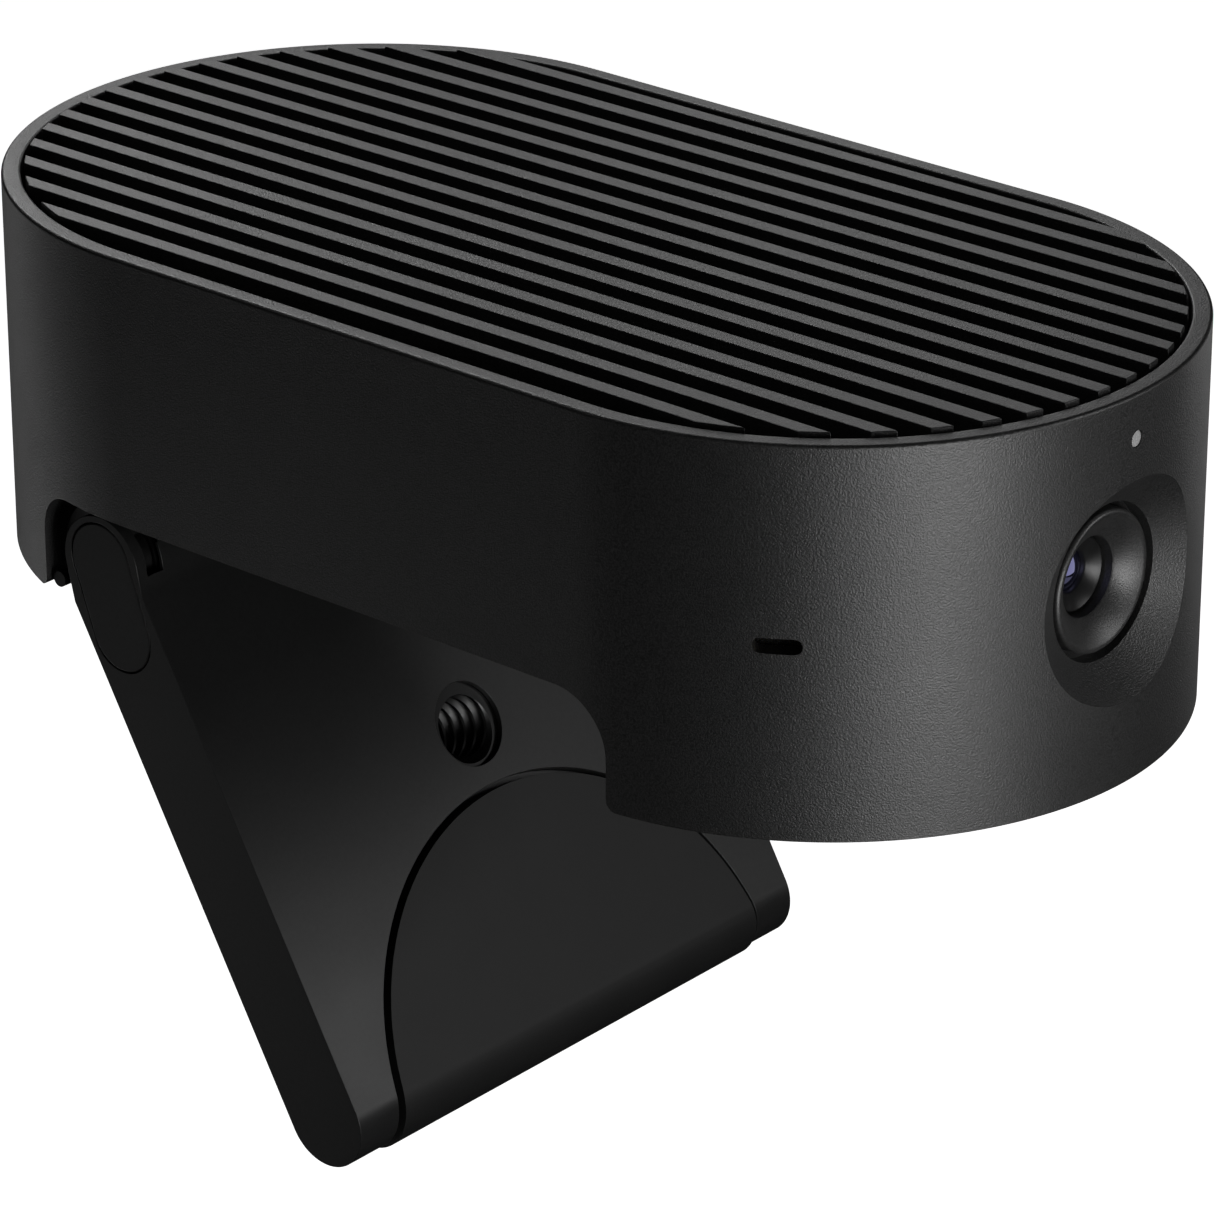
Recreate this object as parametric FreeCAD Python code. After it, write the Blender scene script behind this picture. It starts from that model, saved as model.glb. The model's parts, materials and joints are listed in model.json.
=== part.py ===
import FreeCAD, Part
import math
import os

# Desk conference camera with a folding mount arm.
#
# Frame, in millimetres: the lens looks along -Y, +Z is up, X is across.  The origin is on the
# lower face of the rest pad, the face that stands on a monitor's top edge, midway along the body.
# The arm is built lying flat along its own length, then turned to the angle it is stored at.

os.makedirs("parts", exist_ok=True)
V = FreeCAD.Vector

# ---- body ---------------------------------------------------------------------------------------
body_width = 57.0
body_length = 103.7
body_height = 30.78
wall = 1.55
outer_edge = 0.3              # chamfer on the top outer edge
inner_edge = 0.2              # chamfer on the rim's inner edge

# ---- underside: the step that hooks over a monitor and takes the folded arm ---------------------
step_depth = 8.75             # from the body's bottom up to the step's ceiling
front_block = 25.75           # front end to the step's front wall
rear_lip = 18.55              # rear end to the step's rear wall
front_fillet = 4.8
rear_fillet = 3.9
lip_round = 0.9
tray_thickness = 1.8
rest_pad_margin = 2.6         # pad's sides to the screw heads
rest_pad_front = 7.1          # pad's front edge to the step's front wall
rest_pad_rear = 14.3          # pad's rear edge to the hinge axis
rest_pad_thickness = 1.0
rest_pad_proud = 0.4          # how far the pad stands out of the ceiling

# ---- heat sink ----------------------------------------------------------------------------------
fin_pitch = 3.28
fin_thickness = 1.4
fin_bevel = 0.25
fin_proud = 0.3               # fin tops above the rim
fin_height = 5.0
sink_base = 1.8
sink_ledge = 1.7              # how far the housing's ledge reaches under the sink
sink_ledge_thickness = 1.1
post_radius = 2.6
post_inset = 7.45             # posts from the housing's inside
post_front = 7.1              # front posts behind the step's front wall
post_rear = 13.3              # rear posts ahead of the hinge axis

# ---- lens ---------------------------------------------------------------------------------------
lens_height = 15.3            # lens axis above the body's bottom
dish_edge_radius = 8.7        # where the dish meets the outer wall
dish_floor_radius = 6.1
dish_depth = 2.55
ring_radius = 5.53
ring_bore = 3.1
ring_length = 2.7
ring_face_drop = 1.35         # the ring's face slopes back this far towards its bore
ring_edge = 0.35
barrel_radius = 2.95
barrel_setback = 4.75         # barrel front behind the body's front end
barrel_length = 8.5
barrel_face_drop = 0.7
barrel_edge = 0.2
element_radius = 1.6          # front glass
inner_element_radius = 2.05
element_thickness = 1.6
element_proud = 0.2           # front glass ahead of its seat
element_dome = 0.55
inner_element_thickness = 1.4
middle_element_gap = 0.3      # behind the front glass's seat
middle_element_dome = 0.4
rear_element_setback = 2.0    # behind the middle element's front
rear_element_dome = 0.3
boss_radius = 8.0
boss_back = 4.25              # back of the boss behind the body's front end
holder_side = 12.0
holder_hollow = 0.62          # width of its light shaft, as a share of the holder's
filter_thickness = 0.4
ear_reach = 10.0
ear_thickness = 2.0
sensor_screw_x = 8.2
screw_boss_wall = 0.5
sensor_half_width = 3.2
sensor_half_height = 2.6
sensor_thickness = 0.7
sensor_board_width = 20.0
sensor_board_height = 13.6
sensor_board_thickness = 1.0
sensor_setback = 17.25        # back of the image sensor behind the body's front end

# ---- openings in the shell ----------------------------------------------------------------------
light_height = 27.2           # status light above the body's bottom
light_radius = 0.7
light_setback = 0.1
light_reach = 0.3             # diffuser past the wall's inside
light_board_half = 0.8        # fits between the two middle fins
light_board_depth = 1.2
light_board_thickness = 0.4
light_board_above = 1.0       # board's top over the light
light_chip = 0.5
mic_angle = 58.0              # microphone slots each side of the front, about the end's centre
mic_slot_length = 3.7
mic_slot_height = 1.2
mesh_half_width = 2.2
mesh_half_height = 1.1
mesh_gap = 0.1
mesh_thickness = 0.25
mic_gap = 0.4                 # can's front behind the wall's inside
mic_half_width = 1.9
mic_half_height = 1.4
mic_thickness = 1.1
port_width = 8.94             # receptacle shell of a small reversible data connector
port_height = 3.2
port_length = 7.6
port_wall = 0.3
port_setback = 0.35           # shell's mouth inside the body's rear end
port_tongue_half = 3.2
port_tongue_thickness = 0.7
port_tongue_setback = 0.8

# ---- boards -------------------------------------------------------------------------------------
board_height = 6.2            # underside of the main board above the step's ceiling
board_thickness = 1.2
board_margin = 1.2            # from the housing's inside to the board's edge
board_front = 2.1             # board's front edge behind the step's front wall
board_rear = 6.85             # board's rear edge from the body's rear end
standoff_x = 10.5
standoff_front = 6.1          # front standoffs behind the step's front wall
standoff_rear = 10.3          # rear standoffs ahead of the hinge axis
standoff_wall = 0.4           # standoff round the screw's head
post_clearance = 0.3          # board round the sink's posts
chip_side = 14.0
chip_thickness = 1.4
thermal_pad_thickness = 0.5

# ---- hinge and arm ------------------------------------------------------------------------------
hinge_setback = 6.0           # hinge axis ahead of the step's rear wall
hinge_height = 3.6            # hinge axis above the body's bottom
arm_angle = 60.0              # how far the arm stands open from folded flat
arm_inset = 0.157             # arm's sides inside the body's sides where the step's rear wall is
knuckle_radius = 3.98
arm_inner = 3.02              # inner face, from the hinge axis
arm_outer = 4.72              # outer face, from the hinge axis
inner_flat_start = 0.88       # where the inner face becomes flat, as a share of the knuckle's radius
outer_flat_start = 0.5
tip_gap = 2.5                 # folded tip to the step's front wall
cheek_thickness = 1.05
leaf_thickness = 1.5
leaf_radius = 5.0
leaf_neck = 3.6
leaf_eye_radius = 3.0
leaf_below = 3.3              # leaf's lower edge under the hinge axis
leaf_nub_angle = -29.0        # small stop behind the knuckle, on the leaf's outer face
leaf_nub_reach = 5.7
leaf_nub_radius = 0.65
leaf_nub_length = 0.9
leaf_screw_share = 0.6        # screws this far along the flange's width
leaf_screw_bite = 1.2
leaf_flange_width = 9.0
leaf_flange_length = 11.5
leaf_flange_thickness = 1.2
leaf_screw_spacing = 7.0
pin_radius = 1.6
pin_inner_reach = 6.0         # how far the pin goes into the arm past the washer
washer_radius = 3.3
washer_thickness = 0.6
cap_radius = 3.15
cap_length = 5.7              # hinge axis to the cap's lower end centre
cap_setback = 0.25            # cap's upper end centre behind the hinge axis
cap_shift = 1.0               # how far the cap leans towards the outer face
cap_depth = 0.5
thread_to_pad = 5.2           # tripod thread's centre from the grip pad's groove
thread_minor_radius = 2.55    # 1/4-20 UNC nut thread, minor diameter 5.1
thread_mouth_radius = 3.53
insert_radius = 4.4
insert_setback = 0.5          # insert below both faces
pad_margin = 4.3              # outside of the groove round the grip pad to the arm's sides
pad_groove = 0.5
pad_sunk = 1.1
pad_proud = 0.3

# ---- fits ---------------------------------------------------------------------------------------
seat_gap = 0.05               # pieces that seat in one another
running_gap = 0.03            # pin in the leaf's hole
side_gap = 0.1                # leaf in its slot
swing_gap = 0.7               # arm slot round the leaf
slot_front_gap = 0.4          # arm slot ahead of the leaf's neck
fin_gap = 0.28                # fin ends to the rim
through = 1.0                 # how far a cutter passes a face

# ---- fasteners ----------------------------------------------------------------------------------
base_screw_radius = 1.0
base_head_radius = 1.9
base_head_height = 1.1
base_head_sunk = 0.1
base_screw_bite = 5.5         # above the tray
base_socket_share = 0.8       # socket to shank
base_socket_depth = 0.6
small_screw_radius = 0.8
small_head_radius = 1.45
small_head_height = 0.9
small_screw_bite = 3.0
hole_spare = 0.2              # a screw's end to the bottom of its hole

# ---- places worked out from the sizes -----------------------------------------------------------
end_radius = body_width / 2
half_straight = (body_length - body_width) / 2
half_length = body_length / 2
ceiling_z = rest_pad_proud
bottom_z = ceiling_z - step_depth
top_z = bottom_z + body_height
inner_radius = end_radius - wall
front_wall_y = -half_length + front_block
rear_wall_y = half_length - rear_lip
hinge_y = rear_wall_y - hinge_setback
tip_reach = hinge_y - front_wall_y - tip_gap
rear_wall_half_width = math.sqrt(end_radius ** 2 - (rear_wall_y - half_straight) ** 2)
arm_half_width = rear_wall_half_width - arm_inset
arm_inner_start = inner_flat_start * knuckle_radius
arm_outer_start = outer_flat_start * knuckle_radius
pad_radius = arm_half_width - pad_margin
thread_along = tip_reach - pad_radius - thread_to_pad
post_x = inner_radius - post_inset
post_front_y = front_wall_y + post_front
post_rear_y = hinge_y - post_rear
standoff_front_y = front_wall_y + standoff_front
standoff_rear_y = hinge_y - standoff_rear
rest_pad_half_width = post_x - base_head_radius - rest_pad_margin
rest_pad_front_y = front_wall_y + rest_pad_front
rest_pad_rear_y = hinge_y - rest_pad_rear
lens_z = bottom_z + lens_height
light_z = bottom_z + light_height
hinge_z = bottom_z + hinge_height
tray_top = ceiling_z + tray_thickness
fin_top = top_z + fin_proud
sink_top = fin_top - fin_height
sink_bottom = sink_top - sink_base
board_bottom = ceiling_z + board_height
board_top = board_bottom + board_thickness
chip_top = board_top + chip_thickness
port_z = board_top + port_height / 2
boss_y = -half_length + boss_back
dish_floor_y = -half_length + dish_depth
barrel_front_y = -half_length + barrel_setback
barrel_back_y = barrel_front_y + barrel_length
lens_seat_y = barrel_front_y + barrel_face_drop
sensor_back_y = -half_length + sensor_setback
ear_front_y = sensor_back_y - sensor_board_thickness - ear_thickness
light_board_back = -half_length + wall + light_board_depth
arm_middle = (arm_inner - arm_outer) / 2
arm_half_thickness = (arm_inner + arm_outer) / 2
tip_centre = tip_reach - arm_half_thickness
cheek_x = arm_half_width - cheek_thickness
leaf_x = cheek_x - side_gap
washer_x = leaf_x - leaf_thickness - side_gap
slot_x = washer_x - washer_thickness - side_gap


# ---- shape helpers ------------------------------------------------------------------------------
def box(x0, x1, y0, y1, z0, z1):
    return Part.makeBox(x1 - x0, y1 - y0, z1 - z0, V(x0, y0, z0))


def stadium(radius, low, high):
    """Upright prism with two straight sides and two half-round ends, as the body's outline is."""
    a = half_straight
    corner = [V(radius, -a, low), V(radius, a, low), V(-radius, a, low), V(-radius, -a, low)]
    edges = [
        Part.LineSegment(corner[0], corner[1]).toShape(),
        Part.Arc(corner[1], V(0, a + radius, low), corner[2]).toShape(),
        Part.LineSegment(corner[2], corner[3]).toShape(),
        Part.Arc(corner[3], V(0, -a - radius, low), corner[0]).toShape(),
    ]
    return Part.Face(Part.Wire(edges)).extrude(V(0, 0, high - low))


def outline(corners):
    """Closed wire in the YZ plane through (y, z, radius) corners, each rounded by its radius."""
    count = len(corners)
    starts = []
    ends = []
    middles = []
    for i, (y, z, radius) in enumerate(corners):
        here = V(0, y, z)
        back = (V(0, *corners[i - 1][:2]) - here).normalize()
        ahead = (V(0, *corners[(i + 1) % count][:2]) - here).normalize()
        half = back.getAngle(ahead) / 2
        starts.append(here + back * (radius / math.tan(half)))
        ends.append(here + ahead * (radius / math.tan(half)))
        inward = (back + ahead).normalize()
        middles.append(here + inward * (radius / math.sin(half) - radius))
    edges = []
    for i in range(count):
        if corners[i][2] > 0:
            edges.append(Part.Arc(starts[i], middles[i], ends[i]).toShape())
        edges.append(Part.LineSegment(ends[i], starts[(i + 1) % count]).toShape())
    return Part.Wire(edges)


def across(wire, half_width):
    """Side profile made solid across the body."""
    face = Part.Face(wire)
    face.translate(V(-half_width, 0, 0))
    return face.extrude(V(2 * half_width, 0, 0))


def rod_x(radius, x0, x1, y, z):
    return Part.makeCylinder(radius, abs(x1 - x0), V(min(x0, x1), y, z), V(1, 0, 0))


def rod_y(radius, y0, y1, x, z):
    return Part.makeCylinder(radius, y1 - y0, V(x, y0, z), V(0, 1, 0))


def rod_z(radius, z0, z1, x, y):
    return Part.makeCylinder(radius, z1 - z0, V(x, y, z0), V(0, 0, 1))


def mirrored(shape):
    """The same piece on the other side of the body."""
    return shape.mirror(V(0, 0, 0), V(1, 0, 0))


def turned_to_microphone(shape, side):
    """Swing a piece from the front of the body round the end's centre to a microphone."""
    turned = shape.copy()
    turned.rotate(V(0, -half_straight, 0), V(0, 0, 1), side * mic_angle)
    return turned


def chamfer_where(shape, size, wanted):
    edges = [edge for edge in shape.Edges if wanted(edge.BoundBox)]
    return shape.makeChamfer(size, edges)


def level_at(z):
    return lambda bounds: abs(bounds.ZMin - z) < 1e-6 and abs(bounds.ZMax - z) < 1e-6


def export(shape, name):
    if not shape.isValid():
        raise ValueError(name + " is not a valid solid")
    shape.exportStep("parts/" + name + ".step")


# ---- housing ------------------------------------------------------------------------------------
def underside_cut(grow):
    """The step cut across the underside, grown by a wall thickness."""
    below = bottom_z + grow - step_depth
    corners = [
        (front_wall_y - grow - front_fillet, below, 0),
        (front_wall_y - grow - front_fillet, bottom_z + grow, 0),
        (front_wall_y - grow, bottom_z + grow, lip_round),
        (front_wall_y - grow, ceiling_z + grow, front_fillet + grow),
        (rear_wall_y + grow, ceiling_z + grow, rear_fillet + grow),
        (rear_wall_y + grow, bottom_z + grow, lip_round),
        (rear_wall_y + grow + rear_fillet, bottom_z + grow, 0),
        (rear_wall_y + grow + rear_fillet, below, 0),
    ]
    return across(outline(corners), body_width)


def lens_dish():
    """Dish from the round floor out to the curved wall, which the sides meet sooner."""
    side_wall_y = -half_straight - math.sqrt(end_radius ** 2 - dish_edge_radius ** 2)
    rise = dish_edge_radius - dish_floor_radius
    slope_x = rise / (dish_floor_y - side_wall_y)
    slope_z = rise / dish_depth
    reach = dish_depth + outer_edge
    floor = Part.Wire(Part.makeCircle(dish_floor_radius, V(0, dish_floor_y, lens_z), V(0, -1, 0)))
    mouth = Part.Ellipse(
        V(dish_floor_radius + slope_x * reach, dish_floor_y - reach, lens_z),
        V(0, dish_floor_y - reach, lens_z + dish_floor_radius + slope_z * reach),
        V(0, dish_floor_y - reach, lens_z),
    )
    return Part.makeLoft([floor, Part.Wire(mouth.toShape())], True, True)


def microphone_slot(side):
    reach = mic_slot_length / 2 - mic_slot_height / 2
    low = -half_length - wall
    high = -half_length + 2 * wall
    slot = box(-reach, reach, low, high, lens_z - mic_slot_height / 2, lens_z + mic_slot_height / 2)
    for x in (-reach, reach):
        slot = slot.fuse(rod_y(mic_slot_height / 2, low, high, x, lens_z))
    return turned_to_microphone(slot.removeSplitter(), side)


def rounded_bar(width, height, y0, y1, z):
    """Bar along Y with half-round sides, the section of the data connector."""
    reach = width / 2 - height / 2
    bar = box(-reach, reach, y0, y1, z - height / 2, z + height / 2)
    for x in (-reach, reach):
        bar = bar.fuse(rod_y(height / 2, y0, y1, x, z))
    return bar.removeSplitter()


def port_hole(grow, y0, y1):
    return rounded_bar(port_width + 2 * grow, port_height + 2 * grow, y0, y1, port_z)


def make_housing():
    outside = stadium(end_radius, bottom_z, top_z)
    outside = chamfer_where(outside, outer_edge, level_at(top_z))
    inside = stadium(inner_radius, bottom_z - wall, top_z + wall)
    shell = outside.cut(inside)
    top_inner = [
        edge for edge in shell.Edges
        if level_at(top_z)(edge.BoundBox) and edge.BoundBox.XMax < inner_radius + inner_edge
    ]
    shell = shell.makeChamfer(inner_edge, top_inner)
    ledge = stadium(inner_radius + seat_gap, sink_bottom - sink_ledge_thickness, sink_bottom)
    ledge = ledge.cut(stadium(inner_radius - sink_ledge, bottom_z, top_z))
    boss = rod_y(boss_radius, -half_length + wall / 2, boss_y, 0, lens_z)
    posts = []
    for x in (-sensor_screw_x, sensor_screw_x):
        posts.append(rod_y(small_head_radius + screw_boss_wall, -half_length, ear_front_y, x, lens_z))
    body = shell.fuse([ledge, boss] + posts)
    body = body.common(stadium(end_radius, bottom_z, top_z))
    body = body.cut(underside_cut(0))
    body = body.cut(lens_dish())
    body = body.cut(rod_y(dish_floor_radius, dish_floor_y, dish_floor_y + ring_face_drop, 0, lens_z))
    body = body.cut(rod_y(ring_radius + seat_gap, dish_floor_y, boss_y + wall, 0, lens_z))
    for x in (-sensor_screw_x, sensor_screw_x):
        body = body.cut(rod_y(small_screw_radius, ear_front_y - small_screw_bite, ear_front_y, x, lens_z))
    for side in (-1, 1):
        body = body.cut(microphone_slot(side))
    body = body.cut(rod_y(light_radius, -half_length - wall, -half_length + 2 * wall, 0, light_z))
    body = body.cut(port_hole(seat_gap, half_length - 3 * wall, half_length + wall))
    return body.removeSplitter()


# ---- underside tray -----------------------------------------------------------------------------
def post_places():
    return [(x, y) for x in (-post_x, post_x) for y in (post_front_y, post_rear_y)]


def standoff_places():
    return [(x, y) for x in (-standoff_x, standoff_x) for y in (standoff_front_y, standoff_rear_y)]


def leaf_screw_places():
    x = leaf_x - leaf_flange_width * leaf_screw_share
    middle = hinge_y - leaf_flange_length / 2 + leaf_neck / 2
    return [(x, middle - leaf_screw_spacing / 2), (x, middle + leaf_screw_spacing / 2)]


def make_tray():
    plan = stadium(inner_radius - seat_gap, bottom_z, tray_top)
    tray = plan.cut(underside_cut(0))
    hollow = box(-body_width, body_width, -body_length, body_length, bottom_z + tray_thickness, top_z)
    tray = tray.cut(hollow.cut(underside_cut(tray_thickness)))
    for x, y in standoff_places():
        root = ceiling_z + tray_thickness / 2
        tray = tray.fuse(rod_z(small_head_radius + standoff_wall, root, board_bottom, x, y))
    for x, y in standoff_places():
        tray = tray.cut(rod_z(small_screw_radius, board_bottom - small_screw_bite, board_bottom, x, y))
    for x, y in post_places():
        head_top = ceiling_z + base_head_height
        tray = tray.cut(rod_z(base_screw_radius, ceiling_z - through, tray_top + through, x, y))
        tray = tray.cut(rod_z(base_head_radius + seat_gap, ceiling_z - through, head_top, x, y))
    slot = box(
        leaf_x - leaf_thickness - side_gap, leaf_x + side_gap,
        hinge_y - leaf_neck / 2 - side_gap, hinge_y + leaf_neck / 2 + side_gap,
        ceiling_z - through, tray_top + through,
    )
    for cutter in (slot, mirrored(slot)):
        tray = tray.cut(cutter)
    for x, y in leaf_screw_places():
        hole = rod_z(small_screw_radius, tray_top - leaf_screw_bite - hole_spare, tray_top, x, y)
        tray = tray.cut(hole).cut(mirrored(hole))
    tray = tray.cut(rest_pad_block(seat_gap, rest_pad_thickness - rest_pad_proud))
    return tray.removeSplitter()


def rest_pad_block(grow, depth):
    half_width = rest_pad_half_width + grow
    block = box(
        -half_width, half_width, rest_pad_front_y - grow, rest_pad_rear_y + grow,
        0, ceiling_z + depth,
    )
    upright = [edge for edge in block.Edges if edge.BoundBox.ZLength > rest_pad_proud / 2]
    return block.makeFillet(front_fillet / 2, upright)


# ---- heat sink ----------------------------------------------------------------------------------
def fin_profile(x):
    half = fin_thickness / 2
    low = sink_bottom + sink_base / 2
    points = [
        V(x - half, 0, low), V(x + half, 0, low), V(x + half, 0, fin_top - fin_bevel),
        V(x + half - fin_bevel, 0, fin_top), V(x - half + fin_bevel, 0, fin_top),
        V(x - half, 0, fin_top - fin_bevel), V(x - half, 0, low),
    ]
    return Part.Face(Part.makePolygon(points))


def make_heat_sink():
    envelope = stadium(inner_radius - fin_gap, sink_bottom, fin_top)
    envelope = chamfer_where(envelope, fin_bevel, level_at(fin_top))
    fins = []
    fin_count = 2 * int((inner_radius - fin_gap) / fin_pitch)
    for i in range(fin_count):
        x = (i - (fin_count - 1) / 2) * fin_pitch
        face = fin_profile(x)
        face.translate(V(0, -half_length, 0))
        fins.append(face.extrude(V(0, body_length, 0)).common(envelope))
    sink = stadium(inner_radius - seat_gap, sink_bottom, sink_top).fuse(fins)
    for x, y in post_places():
        sink = sink.fuse(rod_z(post_radius, tray_top, sink_bottom + sink_base / 2, x, y))
    foot = chip_side / 2
    pedestal_low = chip_top + thermal_pad_thickness
    sink = sink.fuse(box(-foot, foot, -foot, foot, pedestal_low, sink_bottom + sink_base / 2))
    for x, y in post_places():
        sink = sink.cut(rod_z(base_screw_radius, tray_top, tray_top + base_screw_bite + hole_spare, x, y))
    notch = light_board_half + 2 * seat_gap
    notch_y = light_board_back + 2 * seat_gap
    sink = sink.cut(box(-notch, notch, -half_length, notch_y, sink_bottom - through, sink_top + through))
    return sink.removeSplitter()


# ---- status light -------------------------------------------------------------------------------
def make_light_board():
    back = light_board_back
    front = back - light_board_thickness
    strip = box(-light_board_half, light_board_half, front, back, sink_bottom, light_z + light_board_above)
    chip_front = front - light_board_thickness
    chip = box(-light_chip, light_chip, chip_front, front, light_z - light_chip, light_z + light_chip)
    return strip.fuse(chip).removeSplitter()


def make_status_light():
    back = -half_length + wall + light_reach
    return rod_y(light_radius - seat_gap, -half_length + light_setback, back, 0, light_z)


# ---- camera module ------------------------------------------------------------------------------
def turned_ring(profile):
    """Solid turned about the lens axis from (distance from axis, y) points."""
    points = [V(r, y, lens_z) for r, y in profile]
    face = Part.Face(Part.makePolygon(points + points[:1]))
    return face.revolve(V(0, 0, lens_z), V(0, 1, 0), 360)


def make_lens_ring():
    front = dish_floor_y
    back = front + ring_length
    return turned_ring([
        (ring_radius - ring_edge, front), (ring_radius, front + ring_edge), (ring_radius, back),
        (ring_bore, back), (ring_bore, front + ring_face_drop),
    ])


def make_barrel():
    front = barrel_front_y
    mouth = lens_seat_y
    step = mouth + element_thickness
    back = barrel_back_y
    inner = inner_element_radius + seat_gap
    return turned_ring([
        (barrel_radius - barrel_edge, front), (barrel_radius, front + barrel_edge), (barrel_radius, back),
        (inner, back), (inner, step), (element_radius + seat_gap, step),
        (element_radius + seat_gap, mouth),
    ])


def glass(radius, front, thickness, dome):
    """Glass element with its front face domed by a sphere."""
    disc = rod_y(radius, front, front + thickness, 0, lens_z)
    ball_radius = (radius ** 2 + dome ** 2) / (2 * dome)
    ball = Part.makeSphere(ball_radius, V(0, front + ball_radius, lens_z))
    return disc.common(ball)


def make_holder():
    half = holder_side / 2
    front = barrel_front_y + ring_length + seat_gap
    back = sensor_back_y - sensor_board_thickness
    block = box(-half, half, front, back, lens_z - half, lens_z + half)
    ears = box(-ear_reach, ear_reach, back - ear_thickness, back, lens_z - half / 2, lens_z + half / 2)
    block = block.fuse(ears)
    for x in (-sensor_screw_x, sensor_screw_x):
        clear = small_head_radius + screw_boss_wall + 2 * seat_gap
        block = block.cut(rod_y(clear, front - through, ear_front_y, x, lens_z))
        block = block.cut(rod_y(small_screw_radius + seat_gap, ear_front_y, back, x, lens_z))
    filter_y = barrel_back_y + seat_gap
    block = block.cut(rod_y(barrel_radius + seat_gap, front - through, filter_y, 0, lens_z))
    hollow = half * holder_hollow
    block = block.cut(box(-hollow, hollow, filter_y, back + through, lens_z - hollow, lens_z + hollow))
    return block.removeSplitter()


def make_filter():
    half = holder_side / 2 * holder_hollow - seat_gap
    front = barrel_back_y + seat_gap
    return box(-half, half, front, front + filter_thickness, lens_z - half, lens_z + half)


def make_sensor_board():
    half = sensor_board_width / 2
    high = sensor_board_height / 2
    front = sensor_back_y - sensor_board_thickness
    board = box(-half, half, front, sensor_back_y, lens_z - high, lens_z + high)
    for x in (-sensor_screw_x, sensor_screw_x):
        board = board.cut(rod_y(small_screw_radius + seat_gap, front, sensor_back_y, x, lens_z))
    return board


def make_image_sensor():
    back = sensor_back_y - sensor_board_thickness
    low = lens_z - sensor_half_height
    high = lens_z + sensor_half_height
    return box(-sensor_half_width, sensor_half_width, back - sensor_thickness, back, low, high)


def screw_y(x, z, head_y, length):
    """Screw driven towards the front from behind: head_y is under the head."""
    shank = rod_y(small_screw_radius - seat_gap, head_y - length, head_y, x, z)
    return shank.fuse(rod_y(small_head_radius, head_y, head_y + small_head_height, x, z)).removeSplitter()


def make_sensor_screws():
    length = sensor_board_thickness + ear_thickness + small_screw_bite - hole_spare
    return [screw_y(x, lens_z, sensor_back_y, length) for x in (-sensor_screw_x, sensor_screw_x)]


# ---- microphones --------------------------------------------------------------------------------
def make_mesh(side):
    front = -half_length + wall + mesh_gap
    low = lens_z - mesh_half_height
    high = lens_z + mesh_half_height
    mesh = box(-mesh_half_width, mesh_half_width, front, front + mesh_thickness, low, high)
    return turned_to_microphone(mesh, side)


def make_microphone(side):
    front = -half_length + wall + mic_gap
    low = lens_z - mic_half_height
    high = lens_z + mic_half_height
    microphone = box(-mic_half_width, mic_half_width, front, front + mic_thickness, low, high)
    return turned_to_microphone(microphone, side)


# ---- main board ---------------------------------------------------------------------------------
def make_main_board():
    board = stadium(inner_radius - board_margin, board_bottom, board_top)
    front = front_wall_y + board_front
    rear = half_length - board_rear
    board = board.common(box(-body_width, body_width, front, rear, bottom_z, top_z))
    for x, y in post_places():
        board = board.cut(rod_z(post_radius + post_clearance, bottom_z, top_z, x, y))
    for x, y in standoff_places():
        board = board.cut(rod_z(small_screw_radius + seat_gap, bottom_z, top_z, x, y))
    return board


def make_port():
    front = half_length - port_length
    back = half_length - port_setback
    shell = port_hole(0, front, back)
    shell = shell.cut(port_hole(-port_wall, front + port_wall, back + through))
    half = port_tongue_thickness / 2
    tongue_back = back - port_tongue_setback
    tongue = box(-port_tongue_half, port_tongue_half, front, tongue_back, port_z - half, port_z + half)
    return shell.fuse(tongue).removeSplitter()


def screw_z_down(x, y, under_head, length):
    shank = rod_z(small_screw_radius - seat_gap, under_head - length, under_head, x, y)
    head = rod_z(small_head_radius, under_head, under_head + small_head_height, x, y)
    return shank.fuse(head).removeSplitter()


def make_board_screws():
    length = board_thickness + small_screw_bite - hole_spare
    return [screw_z_down(x, y, board_top, length) for x, y in standoff_places()]


def make_base_screws():
    screws = []
    head_top = ceiling_z + base_head_height
    for x, y in post_places():
        head = rod_z(base_head_radius, ceiling_z + base_head_sunk, head_top, x, y)
        shank = rod_z(base_screw_radius - seat_gap, head_top, tray_top + base_screw_bite, x, y)
        socket_radius = base_screw_radius * base_socket_share
        socket = rod_z(socket_radius, ceiling_z, ceiling_z + base_socket_depth, x, y)
        screws.append(head.fuse(shank).removeSplitter().cut(socket))
    return screws


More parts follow.
